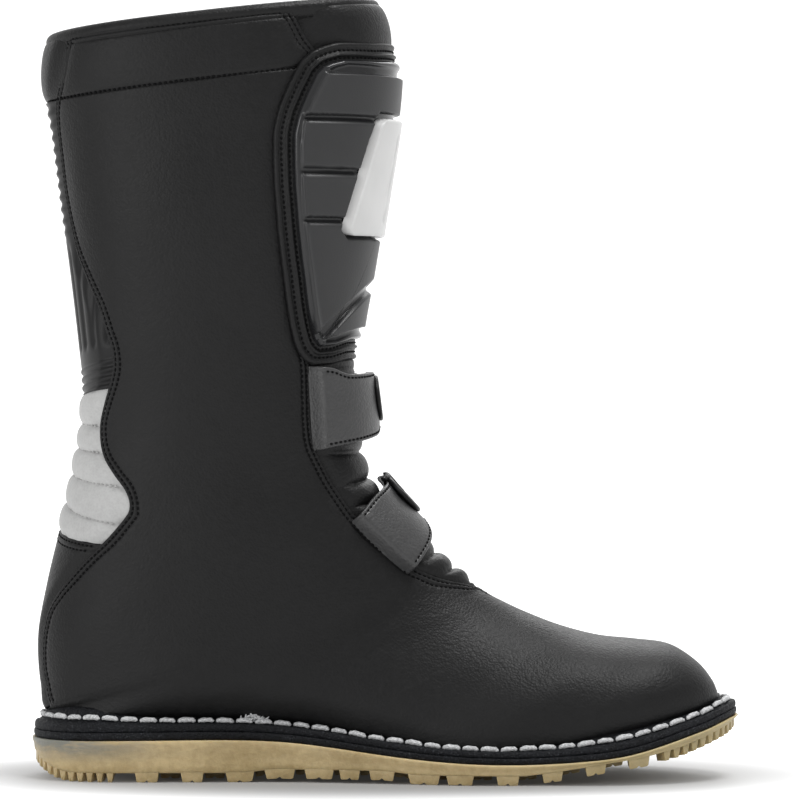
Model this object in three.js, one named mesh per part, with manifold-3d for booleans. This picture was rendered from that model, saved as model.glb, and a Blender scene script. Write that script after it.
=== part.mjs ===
// Left motorcycle trials boot. Millimetres, +Z up, +X to the toe, +Y to the outer side of the leg.
// The finished boot has its origin on the ground under its middle.
import * as THREE from 'three'
import { mergeVertices } from 'three/addons/utils/BufferGeometryUtils.js'
import Module from 'manifold-3d'

const wasm = await Module()
wasm.setup()

// ---------------------------------------------------------------- driving dimensions

// Sections of the boot from the rim (first) to the toe tip (last). Each row holds the front or top
// point (x, z), the back or bottom point (x, z), and the half width on the inner and outer side.
const SECTIONS = [
  [-4, 338, -149, 322, 50, 50],
  [0, 318, -149.5, 300, 50, 50],
  [-0.5, 295, -146.3, 280, 50, 50],
  [-6, 258, -142.5, 250, 49, 49],
  [-11.5, 224, -138.5, 220, 47, 47],
  [-16.5, 195, -135, 190, 44.5, 44.5],
  [-16.5, 178, -133, 170, 42.5, 42.5],
  [-14.5, 160, -133.5, 153, 41, 41],
  [-12.5, 143, -136, 139, 40, 40],
  [-8, 129, -139.5, 122, 39.5, 39.5],
  [-1, 119, -144, 105, 39.5, 39.5],
  [8, 110, -149, 84, 39.5, 39.5],
  [18, 100.5, -152.8, 62, 39, 39],
  [27, 92.3, -151.8, 41, 38.5, 38.5],
  [35, 86, -147.5, 27.5, 38, 38],
  [43, 80.7, -118, 27, 37.5, 38.5],
  [52, 76, -80, 27, 37, 39],
  [63, 71, -40, 25, 38, 42],
  [77, 65.8, 0, 19, 40.5, 46.5],
  [93, 61.8, 40, 15, 45, 49.5],
  [109, 60.2, 75, 17.2, 43, 46.5],
  [124, 58, 105, 22.8, 39, 42],
  [136, 50.5, 128, 28.6, 29, 31],
  [142.6, 42.5, 140, 32.5, 17, 18],
  [144.8, 37, 145, 35.5, 4, 4],
]
const LAST_SECTION = SECTIONS.length - 1
const SOLE_SECTION = 14 // from here on the lower end of a section is the feather edge

// Half width of the feather edge, where the upper meets the welt, at places along the foot.
const FEATHER_X = [-118, -80, -40, 0, 40, 75]
const FEATHER_IN = [29, 28, 28, 35, 43, 41]
const FEATHER_OUT = [29, 31, 36, 43, 47, 44.5]
const HEEL_RADIUS = 29.7
const TOE_REACH = 70.5

// How the outline of a section runs: sections and the values at them.
const WIDEST_AT = {
  s: [0, 12, 14, 15, 16, 17, 18, 19, 20, 24],
  v: [0.5, 0.47, 0.42, 0.36, 0.31, 0.28, 0.22, 0.17, 0.15, 0.15],
}
const WIDEST_SHARE = { s: [0, 12, 14, 16, 18, 20, 24], v: [0.5, 0.49, 0.45, 0.37, 0.3, 0.25, 0.25] }
const CENTRE_SHIFT = { s: [0, 17, 18, 19, 20, 21, 22, 23, 24], v: [0, 0, -1, -2, -3, -4.5, -6, -7, -7.5] }
const ROUNDNESS = { s: [0, 8, 12, 16, 20, 24], v: [2.35, 2.3, 2.2, 2.1, 2.1, 2.1] }
const SWELL_IN = { s: [15, 16, 17, 18, 19, 20, 24], v: [1.293, 1.321, 1.357, 1.157, 1.047, 1.045, 1.045] }
const SWELL_OUT = { s: [15, 16, 17, 18, 19, 20, 24], v: [1.328, 1.258, 1.167, 1.081, 1.053, 1.045, 1.045] }

// Layers of the upper, measured out from the surface of the main leather.
const LEATHER = [-2.2, 0]
const STIFFENER = [-5.2, -3]
const LINING = [-8, -6]
const GRID_TURN = 12 // facets over half the way round
const SEAM_GAP = 0.7

// The modelling axes are moved by this much to bring the origin under the middle of the boot.
const CENTRING = { x: 1.1, y: -2.79 }

// Ankle joint and the cut between the foot and the leg of the upper.
const ANKLE = { x: -80, z: 103 }
const ANKLE_CUT_RADIUS = 64.5
const ANKLE_GAP = 0.5 // on each side of the cut

// Heights along the sole: top of the outsole, tread bottom, and the thickness of what lies over it.
const SOLE_X = [-156, -110, -48, 15, 55, 87, 107, 137, 156]
const OUTSOLE_TOP = [17.5, 18, 17.6, 10.5, 8.8, 10.5, 13.5, 22.5, 28]
const TREAD_X = [-156, -151, -145, -139, -138, -62, -50, 0, 12, 60, 75, 92, 111, 127, 138, 148, 156]
const TREAD_Z = [9, 4.5, 1.4, 0, 0, 0, 1.5, 1.5, 0, 0, 2, 5, 8, 12, 16, 20, 25]
const TREAD_DEPTH = 4
const LUG = { pitch: 17, endPitch: 13, length: 11, endLength: 8, width: 15, taper: 0.84 }
const PLY_X = [-156, -60, 30, 156]
const PLY = [3.2, 3.2, 2.5, 2.9] // midsole and welt alike
const PLY_GAP = 0.35
const WELT_REACH = 7.6 // how far the welt stands out from the feather edge

// ---------------------------------------------------------------- the surface of the upper

function smooth (v, s) {
  const i = Math.min(Math.max(Math.floor(s), 0), LAST_SECTION - 1)
  const t = s - i
  const a = v(Math.max(i - 1, 0))
  const b = v(i)
  const c = v(i + 1)
  const d = v(Math.min(i + 2, LAST_SECTION))
  return 0.5 * (2 * b + (c - a) * t + (2 * a - 5 * b + 4 * c - d) * t * t + (3 * b - a - 3 * c + d) * t ** 3)
}

const sectionValue = (s, column) => smooth(i => SECTIONS[i][column], s)

function hermite (xs, ys, x) {
  const last = xs.length - 1
  if (x <= xs[0]) return ys[0]
  if (x >= xs[last]) return ys[last]
  const i = xs.findIndex((value, j) => x < xs[j + 1])
  const slope = j => (j > 0 && j < last ? (ys[j + 1] - ys[j - 1]) / (xs[j + 1] - xs[j - 1]) : 0)
  const h = xs[i + 1] - xs[i]
  const t = (x - xs[i]) / h
  return (2 * t ** 3 - 3 * t * t + 1) * ys[i] + (t ** 3 - 2 * t * t + t) * h * slope(i) +
    (3 * t * t - 2 * t ** 3) * ys[i + 1] + (t ** 3 - t * t) * h * slope(i + 1)
}

function linear (xs, ys, x) {
  const i = Math.max(xs.findIndex((value, j) => j === xs.length - 2 || x < xs[j + 1]), 0)
  const t = THREE.MathUtils.clamp((x - xs[i]) / (xs[i + 1] - xs[i]), 0, 1)
  return THREE.MathUtils.lerp(ys[i], ys[i + 1], t)
}

const roundedEnd = (width, distance, reach) => width * Math.sqrt(Math.max(1 - (distance / reach) ** 2, 0))

// Half width of the feather edge at a place along the foot, grown outward by some amount.
function footHalfWidth (x, side, grow = 0) {
  const table = side < 0 ? FEATHER_IN : FEATHER_OUT
  const heel = FEATHER_X[0]
  const toe = FEATHER_X[FEATHER_X.length - 1]
  if (x < heel) return roundedEnd(table[0] + grow, x - heel, HEEL_RADIUS + grow)
  if (x > toe) return roundedEnd(table[table.length - 1] + grow, x - toe, TOE_REACH + grow)
  return hermite(FEATHER_X, table, x) + grow
}

// The point at section s and turn p. The turn is 0 at the front or top, -1 at the back or bottom
// by way of the inner side, and 1 by way of the outer side. The leg closes at the back, p = 1.
function skin (s, turn) {
  const p = Math.abs(turn) > 1 ? THREE.MathUtils.euclideanModulo(turn + 1, 2) - 1 : turn
  const side = p < 0 ? -1 : 1
  const q = 1 - Math.abs(p)
  const [fx, fz, bx, bz] = [0, 1, 2, 3].map(column => sectionValue(s, column))
  const edge = s > SOLE_SECTION ? footHalfWidth(bx, side) : 0
  const swell = side < 0 ? SWELL_IN : SWELL_OUT
  const legWidth = sectionValue(s, side < 0 ? 4 : 5)
  const width = s > SOLE_SECTION + 1 ? edge * hermite(swell.s, swell.v, s) : legWidth
  const widest = hermite(WIDEST_AT.s, WIDEST_AT.v, s)
  const share = hermite(WIDEST_SHARE.s, WIDEST_SHARE.v, s)
  const n = hermite(ROUNDNESS.s, ROUNDNESS.v, s)
  let along
  let out
  if (q >= share) {
    const u = Math.sin((q - share) / (1 - share) * Math.PI / 2)
    along = widest + (1 - widest) * u
    out = width * Math.max(1 - u ** n, 0) ** (1 / n)
  } else {
    const t = (share - q) / share
    const open = Math.min(edge / width * 1.2, 1)
    const u = Math.sin(t * Math.PI / 2) * (1 - open) + t * open
    const drop = 1 - (edge / width) ** n
    along = widest * (1 - u)
    out = width * Math.max(1 - drop * u ** n, 0) ** (1 / n)
  }
  const shift = hermite(CENTRE_SHIFT.s, CENTRE_SHIFT.v, s)
  return new THREE.Vector3(bx + (fx - bx) * along, shift + side * out, bz + (fz - bz) * along)
}

function skinNormal (s, p) {
  const step = 0.02
  const sa = Math.max(s - step, 0)
  const sb = Math.min(s + step, LAST_SECTION)
  const up = skin(sa, p).sub(skin(sb, p))
  const open = s > SOLE_SECTION - 0.5 && Math.abs(p) <= 1 // the underside of the foot is open
  const ahead = open ? Math.min(p + step, 1) : p + step
  const behind = open ? Math.max(p - step, -1) : p - step
  return skin(s, ahead).sub(skin(s, behind)).cross(up).normalize()
}

const offSkin = (s, p, offset) => skin(s, p).addScaledVector(skinNormal(s, p), offset)

// ---------------------------------------------------------------- solids

function toSolid (geometry) {
  const bare = geometry.clone()
  bare.deleteAttribute('normal')
  bare.deleteAttribute('uv')
  const merged = mergeVertices(bare, 1e-4)
  const solid = new wasm.Manifold(new wasm.Mesh({
    numProp: 3,
    vertProperties: new Float32Array(merged.attributes.position.array),
    triVerts: new Uint32Array(merged.index.array),
  }))
  return solid
}

function toGeometry (solid) {
  const mesh = solid.getMesh()
  const geometry = new THREE.BufferGeometry()
  geometry.setAttribute('position', new THREE.BufferAttribute(new Float32Array(mesh.vertProperties), 3))
  geometry.setIndex(new THREE.BufferAttribute(new Uint32Array(mesh.triVerts), 1))
  return geometry
}

const join = solids => solids.reduce((whole, solid) => whole.add(solid))

// A box whose points are moved to place(u, v, w), each from 0 to 1.
function bentBox (nu, nv, nw, place) {
  const box = new THREE.BoxGeometry(1, 1, 1, nu, nv, nw)
  const points = box.attributes.position
  for (let i = 0; i < points.count; i++) {
    const [u, v, w] = [points.getX(i) + 0.5, points.getY(i) + 0.5, points.getZ(i) + 0.5]
    points.setXYZ(i, ...place(u, v, w).toArray())
  }
  return toSolid(box)
}

// The ends of a range and the common grid lines that lie between them.
function gridLines (from, to, perUnit) {
  const margin = 0.3 / perUnit
  const lines = [from]
  for (let i = Math.ceil(from * perUnit); i <= to * perUnit; i++) {
    if (i / perUnit > from + margin && i / perUnit < to - margin) lines.push(i / perUnit)
  }
  return [...lines, to]
}

// A layer of the upper between two sections and two turns. Its thickness runs between two offsets,
// which are numbers or functions of the section and the turn.
function layer ([s0, s1], [p0, p1], [inner, outer]) {
  const rows = gridLines(s0, s1, 1)
  const columns = gridLines(p0, p1, GRID_TURN)
  const value = (offset, s, p) => (typeof offset === 'function' ? offset(s, p) : offset)
  return bentBox(columns.length - 1, rows.length - 1, 1, (u, v, w) => {
    const s = rows[Math.round((1 - v) * (rows.length - 1))]
    const p = columns[Math.round(u * (columns.length - 1))]
    return offSkin(s, p, value(w < 0.5 ? inner : outer, s, p))
  })
}

// A side-view outline carried right through the boot, or from the middle plane to one side only.
function prism (outline, side = 0) {
  const reach = 90
  const shape = new THREE.Shape(outline.map(([x, z]) => new THREE.Vector2(x, z)))
  const geometry = new THREE.ExtrudeGeometry(shape, { depth: side ? reach : 2 * reach, bevelEnabled: false })
  geometry.rotateX(Math.PI / 2)
  geometry.translate(0, side < 0 ? 0 : reach, 0)
  return toSolid(geometry)
}

// A ribbon along a side-view line, which parts two pieces at their seam.
function seamCutter (line, width = SEAM_GAP) {
  const points = line.map(([x, z]) => new THREE.Vector2(x, z))
  const shifted = sign => points.map((point, i) => {
    const before = points[Math.max(i - 1, 0)]
    const after = points[Math.min(i + 1, points.length - 1)]
    const along = after.clone().sub(before).normalize()
    return [point.x - along.y * sign * width / 2, point.y + along.x * sign * width / 2]
  })
  return prism([...shifted(1), ...shifted(-1).reverse()])
}

const arc = (radius, from, to, steps) => Array.from({ length: steps + 1 }, (_, i) => {
  const angle = THREE.MathUtils.degToRad(from + (to - from) * i / steps)
  return [ANKLE.x + radius * Math.cos(angle), ANKLE.z + radius * Math.sin(angle)]
})

// Plates stop just short of the tip of their rounded ends, where the width is nil.
const END_SHARE = 0.985

// A plate lying along the sole between two heights, which are functions of x, and as wide as the
// feather edge grown by some amount.
function solePlate (grow, bottom, top, range = [-1, 1]) {
  const heel = FEATHER_X[0] - HEEL_RADIUS - grow
  const toe = FEATHER_X[FEATHER_X.length - 1] + TOE_REACH + grow
  return bentBox(22, 4, 1, (u, v, w) => {
    const along = THREE.MathUtils.lerp(range[0], range[1], u)
    const x = (heel + toe) / 2 + (toe - heel) / 2 * Math.sin(along * END_SHARE * Math.PI / 2)
    const y = THREE.MathUtils.lerp(-footHalfWidth(x, -1, grow), footHalfWidth(x, 1, grow), v)
    const height = w < 0.5 ? bottom : top
    return new THREE.Vector3(x, y + soleShift(x), height(x, y))
  })
}

const soleShift = x => -7.5 * THREE.MathUtils.smoothstep(x, 40, 150)

const featherHeight = x => {
  const rows = SECTIONS.slice(SOLE_SECTION)
  return hermite(rows.map(row => row[2]), rows.map(row => row[3]), x)
}
const outsoleTop = x => hermite(SOLE_X, OUTSOLE_TOP, x)
const ply = x => hermite(PLY_X, PLY, x)
const treadBottom = x => linear(TREAD_X, TREAD_Z, x)

// ---------------------------------------------------------------- side-view lines of the seams

// Rear seam of the big side panels, from the rim to the heel.
const REAR_SEAM = [
  [-137, 340], [-138, 324.6], [-142.5, 302.7], [-144, 290], [-143, 272], [-141, 252], [-135.4, 233.3],
  [-128, 214.4], [-121.8, 195], [-118.8, 181], [-121, 170], [-124.8, 155], [-124.4, 145], [-121, 136],
  [-114, 127], [-111.8, 119], [-115.5, 112], [-124.4, 102.4], [-138.7, 87.6], [-146, 76], [-149.5, 60],
  [-149.8, 46], [-147, 34], [-143, 20],
]
// Front seam of the big side panels, from the rim to the toe side of the instep.
const FRONT_SEAM = [
  [-46, 345], [-42.3, 333.5], [-34.7, 321.4], [-30, 314], [-33, 290], [-35, 240], [-34.5, 200], [-33.3, 179],
  [-32.6, 156.2], [-31.2, 145.8], [-27, 136.2], [-20.9, 125.2], [-14, 115.6], [-5.8, 107], [2.4, 100],
  [10.7, 93.4], [17, 90], [27.5, 86.3], [36.7, 84], [52, 84],
]
// Seams across the back between the side panels.
const COLLAR_SEAM = [[-160, 294], [-120, 297.5]]
const PLATE_BOTTOM = [[-160, 165.5], [-134, 168.5], [-110, 173]]
const COUNTER_TOP = [[-160, 113], [-144, 109], [-124.4, 102.4], [-110, 98]]

const BACK = -175
const TOP = 360

const behindRearSeam = [[BACK, 340], ...REAR_SEAM, [BACK, 20]]
const aheadOfFrontSeam = [[60, 345], ...FRONT_SEAM.slice(0, -1), [52, 84], [60, 84]]

// ---------------------------------------------------------------- flap outlines, seen from the side

const FLAP_EDGE = [
  [20, 319.7], [-8, 319.7], [-22.6, 319], [-30, 317], [-37.8, 310.5], [-42.2, 301.5], [-46.8, 290.5],
  [-49.1, 278], [-48.9, 258], [-47.3, 239], [-45.9, 225.4], [-43.7, 207.3], [-41.4, 193.7], [-38.5, 185.5], [-32.4, 180.3],
  [-26, 180.6], [-19.9, 182.6], [-10, 187.5], [20, 187.5],
]
const PLATE_EDGE = [
  [20, 311.5], [-20, 311], [-27, 309.5], [-31.5, 306], [-36, 297], [-39.6, 287], [-41, 276], [-40.6, 257],
  [-39, 238], [-37.5, 223], [-35.5, 206.5], [-33.6, 195], [-31.6, 190.3], [-27, 188.3], [-20, 190.4],
  [-8, 196.5], [20, 196.5],
]
const BLOCK_EDGE = [
  [20, 306], [-26, 305.8], [-34.8, 288.3], [-36.3, 275], [-36, 255], [-34.5, 232], [-31.2, 203], [-30.2, 194],
  [-5.6, 218.4], [20, 236],
]
const TOE_BLOCK = [[-26.6, 191.5], [-5.6, 214.5], [20, 232], [20, 197.5], [-11, 196.8]]
const BLOCK_GROOVES = [[285.5, 288], [262.6, 265.2], [241.8, 244]]
const BADGE_EDGE = [[20, 288.5], [-2, 288.5], [-6, 278], [-17.7, 239], [-16, 236.7], [20, 237]]
const BADGE_POCKET = [[20, 289.8], [-3, 289.8], [-7.4, 278], [-19.4, 238.8], [-17, 235.2], [20, 235.5]]

// ---------------------------------------------------------------- materials

function finish (color, roughness, metalness = 0) {
  return new THREE.MeshStandardMaterial({ color, roughness, metalness })
}
const BLACK_LEATHER = finish(0x151516, 0.45)
const WHITE_LEATHER = finish(0xdcdcd8, 0.5)
const BLACK_PLASTIC = finish(0x1b1b1d, 0.5)
const WHITE_PLASTIC = finish(0xe4e4e2, 0.35)
const BLACK_RUBBER = finish(0x202226, 0.7)
const GUM_RUBBER = finish(0xb89f6c, 0.55)
const TEXTILE = finish(0x262626, 0.95)
const FIBREBOARD = finish(0x8a7757, 0.9)
const STEEL = finish(0xa9abad, 0.35, 1)
const ALUMINIUM = finish(0xb9bbbd, 0.4, 1)

const boot = new THREE.Group()

// The largest body of a cut solid; the cuts may leave crumbs beside it.
function largestBody (solid) {
  const bodies = solid.decompose()
  return bodies.reduce((best, body) => (body.volume() > best.volume() ? body : best))
}

function addPart (name, solid, material) {
  const mesh = new THREE.Mesh(toGeometry(largestBody(solid)), material)
  mesh.name = name
  boot.add(mesh)
  return mesh
}

// ---------------------------------------------------------------- sole

function outsole () {
  const base = x => Math.min(treadBottom(x) + TREAD_DEPTH, outsoleTop(x) - 1.5)
  const slab = solePlate(WELT_REACH + 0.6, base, outsoleTop)
  const lugs = []
  // a tapered lug with its foot on the tread line
  const addLug = (x, y, length, width) => lugs.push(bentBox(1, 1, 1, (u, v, w) => {
    const taper = w < 0.5 ? LUG.taper : 1
    const px = x + (u - 0.5) * length * taper
    const py = y + (v - 0.5) * width * taper
    return new THREE.Vector3(px, py, w < 0.5 ? treadBottom(px) : base(px) + 0.8)
  }))
  const atEnd = x => x < -120 || x > 115
  for (let x = -141; x < 140; x += atEnd(x) ? LUG.endPitch : LUG.pitch) {
    const length = atEnd(x) ? LUG.endLength : LUG.length
    for (const side of [-1, 1]) {
      const edge = Math.min(...[-0.5, 0.5].map(end => footHalfWidth(x + end * length, side, WELT_REACH)))
      const width = Math.min(LUG.width, edge * 0.6)
      addLug(x, soleShift(x) + side * (edge - width / 2 - 0.3), length, width)
      const middle = (edge - width) / 2 - 1
      if (middle > 7) addLug(x + LUG.pitch / 2, soleShift(x) + side * middle, 9, 10)
    }
  }
  for (const x of [-150, 145]) {
    for (const side of [-6, 6]) addLug(x, soleShift(x) + side, 7, 9)
  }
  return join([slab, ...lugs])
}

function midsole () {
  const bottom = x => outsoleTop(x) + PLY_GAP
  return solePlate(WELT_REACH, bottom, x => bottom(x) + ply(x))
}

const weltBottom = x => outsoleTop(x) + ply(x) + 2 * PLY_GAP

// The welt is a ring. Its top rises from the outer edge to just under the upper.
function welt () {
  const outer = solePlate(WELT_REACH - 0.4, weltBottom, x => weltBottom(x) + ply(x))
  const riseTop = x => Math.max(featherHeight(x) - 1.4, weltBottom(x) + 0.8)
  const rise = solePlate(1.5, x => weltBottom(x) + 0.5, riseTop)
  const hole = solePlate(-5, x => weltBottom(x) - 3, x => featherHeight(x) + 6)
  return outer.add(rise).subtract(hole)
}

const boardTop = x => featherHeight(x) - 0.4

function insoleBoard () {
  return solePlate(-5.6, x => boardTop(x) - 1.4, boardTop)
}

function shank () {
  const bottom = x => weltBottom(x) + 0.1
  return bentBox(8, 1, 1, (u, v, w) => {
    const x = THREE.MathUtils.lerp(-105, -15, u)
    return new THREE.Vector3(x, (v - 0.5) * 15, bottom(x) + w)
  })
}

function footbed () {
  const bottom = x => boardTop(x) + 0.7
  return solePlate(-12, bottom, x => bottom(x) + 3.2, [-0.94, 0.9])
}

// ---------------------------------------------------------------- foot of the upper

const rearCutter = seamCutter(REAR_SEAM)
const frontCutter = seamCutter(FRONT_SEAM)
const behindSeam = prism(behindRearSeam)
const aheadOfSeam = prism(aheadOfFrontSeam)
const VAMP_SECTION = 17

function sidePanel (range, turns) {
  return layer(range, turns, LEATHER).subtract(behindSeam).subtract(rearCutter)
    .subtract(aheadOfSeam).subtract(frontCutter)
}

function quarter (side) {
  const panel = sidePanel([5.5, VAMP_SECTION - 0.04], side < 0 ? [-1, -0.03] : [0.03, 1])
  // clearance for the leg of the upper, which sweeps along the arc as the ankle bends
  const radius = ANKLE_CUT_RADIUS - ANKLE_GAP
  const frontSweep = prism([...arc(radius, 17, 60, 14), [0, 220], [60, 150], [60, 129]])
  const rearSweep = prism([...arc(radius, 60, 150, 20), [BACK, 142], [BACK, 250], [0, 250]])
  return panel.subtract(frontSweep).subtract(rearSweep)
}

const vamp = () => layer([VAMP_SECTION, LAST_SECTION - 0.15], [-1, 1], LEATHER)

function heelCounter () {
  return layer([8.5, SOLE_SECTION - 0.2], [0.55, 1.45], [LEATHER[0], 0.3])
    .intersect(behindSeam).subtract(rearCutter)
    .subtract(prism([[BACK, 113], ...COUNTER_TOP, [-90, 98], [-90, 200], [BACK, 200]]))
    .subtract(seamCutter(COUNTER_TOP))
}

const heelStiffener = () => layer([10, SOLE_SECTION - 1], [0.6, 1.4], STIFFENER)
const toePuff = () => layer([20, LAST_SECTION - 1.2], [-0.9, 0.9], [-4.6, -3])
const footLining = () => layer([10, LAST_SECTION - 3], [-11 / 12, 11 / 12], LINING)

function instepBellows () {
  const fold = (s, p) => 2.6 * Math.cos(Math.min(Math.abs(p) / 0.26, 1) * Math.PI / 2)
  return layer([8.15, VAMP_SECTION - 0.1], [-0.5, 0.5], [LEATHER[0], (s, p) => (s < 9 ? fold(s, p) : 0)])
    .intersect(aheadOfSeam).subtract(frontCutter)
    .subtract(prism([[-60, 146], [40, 150], [40, 200], [-60, 200]]))
}

function achillesBellows () {
  const bulge = s => 1 + 1.6 * Math.sin(Math.PI * Math.min(Math.max((s - 6.2) / 4, 0), 1))
  const band = prism([[BACK, 167.5], [-134, 169.6], [-110, 174], [-100, 174], [-100, 98], [-110, 98.7],
    [-124.4, 103.1], [-144, 109.7], [BACK, 114]])
  return layer([5.4, 10.6], [0.55, 1.45], [LEATHER[0], bulge]).intersect(behindSeam).subtract(rearCutter)
    .intersect(band).subtract(seamCutter(PLATE_BOTTOM, 1.4))
}

// ---------------------------------------------------------------- leg of the upper

// Shaft and foot part along an arc round the ankle joint.
const shaftCut = prism([...arc(ANKLE_CUT_RADIUS + ANKLE_GAP, 0, 180, 30), [-144.6, 60], [60, 60], [60, 103]])
const RIM_LEATHER = [
  [-175, 318], [-137, 322.4], [-109, 324.7], [-47.8, 332.7], [-42.3, 333.5], [-38, 333.7], [0, 336],
]

function sideShaft (side) {
  return sidePanel([0.02, 8.6], side < 0 ? [-0.985, -0.15] : [0.15, 0.985]).subtract(shaftCut)
    .subtract(prism([...RIM_LEATHER, [0, TOP], [BACK, TOP]]))
}

function calfPlate () {
  return layer([0.6, 6.3], [0.62, 1.38], [LEATHER[0], 0.9]).intersect(behindSeam).subtract(rearCutter)
    .subtract(prism([[BACK, 294], ...COLLAR_SEAM, [-90, 299], [-90, TOP], [BACK, TOP]]))
    .subtract(prism([[BACK, 165], ...PLATE_BOTTOM, [-90, 174], [-90, 120], [BACK, 120]]))
    .subtract(seamCutter(COLLAR_SEAM)).subtract(seamCutter(PLATE_BOTTOM))
}

function rearCollarPad () {
  return layer([0.05, 2.4], [0.7, 1.3], [LEATHER[0], 1.8]).intersect(behindSeam).subtract(rearCutter)
    .subtract(prism([[BACK, 294], ...COLLAR_SEAM, [-90, 299], [-90, 200], [BACK, 200]]))
    .subtract(seamCutter(COLLAR_SEAM))
}

const collarFoam = () => layer([0.1, 1.7], [0.4, 1.6], STIFFENER)
const shaftLining = () => layer([0, 6.6], [0.36, 1.64], LINING)

function tongue () {
  const mound = p => THREE.MathUtils.smoothstep(0.24 - Math.abs(p), 0, 0.08)
  return layer([1, 7.4], [-0.36, 0.36], [(s, p) => -5 + 2.6 * mound(p), (s, p) => -3 + 2.9 * mound(p)])
    .subtract(shaftCut)
}

function frontCollarPad () {
  const swell = (s, p) => 0.5 + 2.5 * Math.cos(Math.min(Math.abs(p) / 0.3, 1) * Math.PI / 2)
  return layer([0.02, 1.15], [-0.5, 0.5], [LEATHER[0], swell]).intersect(aheadOfSeam).subtract(frontCutter)
    .intersect(prism([[-60, 320.6], [40, 320.6], [40, TOP], [-60, TOP]]))
}

// ---------------------------------------------------------------- shin flap

// The flap lies over the side panels and rises over the closing tape on the outer side.
const tapeRise = p => 2.3 * THREE.MathUtils.smoothstep(p, 0.14, 0.22)
const flapLayer = (inner, outer) => layer([0.5, 6.2], [-0.56, 0.56],
  [(s, p) => inner + tapeRise(p), (s, p) => outer + tapeRise(p)])

const flapLeather = () => flapLayer(0.6, 2.3).intersect(prism(FLAP_EDGE))

function flapBinding () {
  return flapLayer(2.7, 4.4).intersect(prism(FLAP_EDGE)).subtract(prism(PLATE_EDGE))
    .subtract(seamCutter(PLATE_EDGE, 1))
}

function shinPlate () {
  const base = flapLayer(2.7, 4.6).intersect(prism(PLATE_EDGE))
  const groove = ([low, high]) => prism([[-60, low], [30, low], [30, high], [-60, high]])
  const grooves = join(BLOCK_GROOVES.map(groove))
  const raised = prism(BLOCK_EDGE).subtract(grooves).add(prism(TOE_BLOCK)).subtract(prism(BADGE_POCKET))
  return base.add(flapLayer(4, 7).intersect(raised))
}

const shinBadge = () => flapLayer(5, 8.3).intersect(prism(BADGE_EDGE))

const TAPE = [[-47, 292], [-30, 292], [-30, 205], [-44.5, 205]]
const loopTape = () => layer([1, 6], [0.15, 0.6], [0.4, 1.3]).intersect(prism(TAPE, 1))
const hookTape = () => layer([1, 6], [0.15, 0.6], [1.7, 2.5]).intersect(prism(TAPE, 1))

// ---------------------------------------------------------------- straps and buckles

const UPPER_STRAP_EDGE = [
  [-32.5, 179.5], [-27.7, 179.3], [-22.2, 176], [20, 178], [20, 151.2], [-4.7, 151.2], [-25.7, 144.6],
  [-31, 143],
]
const LOWER_STRAP_EDGE = [
  [-13.7, 114.7], [-2.4, 131], [6, 139], [40, 116], [18.6, 103], [13.5, 91], [5, 97.5], [-4, 105],
]
const STRAP = [1.2, 3.6]

// The straps stand off the instep as they cross its ridge.
const standOff = (peak, p) => peak * Math.cos(Math.min(Math.abs(p) / 0.36, 1) * Math.PI / 2) ** 2

// Where each closure runs: its section at the ridge and how that changes with the turn, the turn of
// the buckle, how far it stands off the ridge, and the outline and sections of its leather strap.
const CLOSURES = {
  upper: { s: 6.75, slope: -1.9, end: 0.42, peak: 5.4, outline: UPPER_STRAP_EDGE, sections: [5.4, 8.3] },
  lower: { s: 10.2, slope: 6, end: 0.38, peak: 3.4, outline: LOWER_STRAP_EDGE, sections: [8.5, 13.5] },
}
const STRAP_END = 0.065
const LADDER = { start: 0.085, overlap: 0.06, width: 15, inner: 3, outer: 5.2 }
const DISC = { radius: 10, height: 1.9, offset: 4.9 }
const BUCKLE = { width: 23, plate: 1.6, cheek: 1.5, lift: 5.6, front: -14, back: 27 }
const PEG = { at: 20, radius: 2.2 }
const PIN = { at: -8, height: 10.2, radius: 1.4 }

// A frame on a closure's path: origin on the skin, x along the strap to the back, y across it, z out.
function pathFrame ({ s, slope }, p) {
  const onPath = turn => skin(s + slope * turn, turn)
  const z = skinNormal(s + slope * p, p)
  const along = onPath(p + 0.02).sub(onPath(p - 0.02))
  const x = along.addScaledVector(z, -along.dot(z)).normalize()
  const y = z.clone().cross(x)
  return new THREE.Matrix4().makeBasis(x, y, z).setPosition(onPath(p))
}

const moved = (geometry, matrix) => toSolid(geometry).transform(Array.from(matrix.elements))

function block (from, to) {
  const size = to.map((value, i) => value - from[i])
  const geometry = new THREE.BoxGeometry(...size)
  geometry.translate(...from.map((value, i) => value + size[i] / 2))
  return geometry
}

function rod (radius, length, x, z, segments = 16) {
  const geometry = new THREE.CylinderGeometry(radius, radius, length, segments)
  geometry.translate(x, 0, z)
  return geometry
}

function post (radius, low, high, x, y = 0, segments = 24) {
  const geometry = new THREE.CylinderGeometry(radius, radius, high - low, segments)
  geometry.rotateX(Math.PI / 2)
  geometry.translate(x, y, (low + high) / 2)
  return geometry
}

function strap ({ outline, sections, peak }) {
  const [inner, outer] = STRAP.map(offset => (s, p) => offset + standOff(peak, p))
  return layer(sections, [-0.6, STRAP_END], [inner, outer]).intersect(prism(outline))
}

function disc (closure) {
  const low = DISC.offset + closure.peak
  return moved(post(DISC.radius, low, low + DISC.height, 0), pathFrame(closure, 0))
}

// The toothed strap runs from beside the disc to under the buckle.
function ladder (closure) {
  return bentBox(6, 1, 1, (u, v, w) => {
    const p = THREE.MathUtils.lerp(LADDER.start, closure.end - LADDER.overlap, u)
    const offset = (w < 0.5 ? LADDER.inner : LADDER.outer) + standOff(closure.peak, p)
    return new THREE.Vector3(0, (v - 0.5) * LADDER.width, offset).applyMatrix4(pathFrame(closure, p))
  })
}

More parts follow.
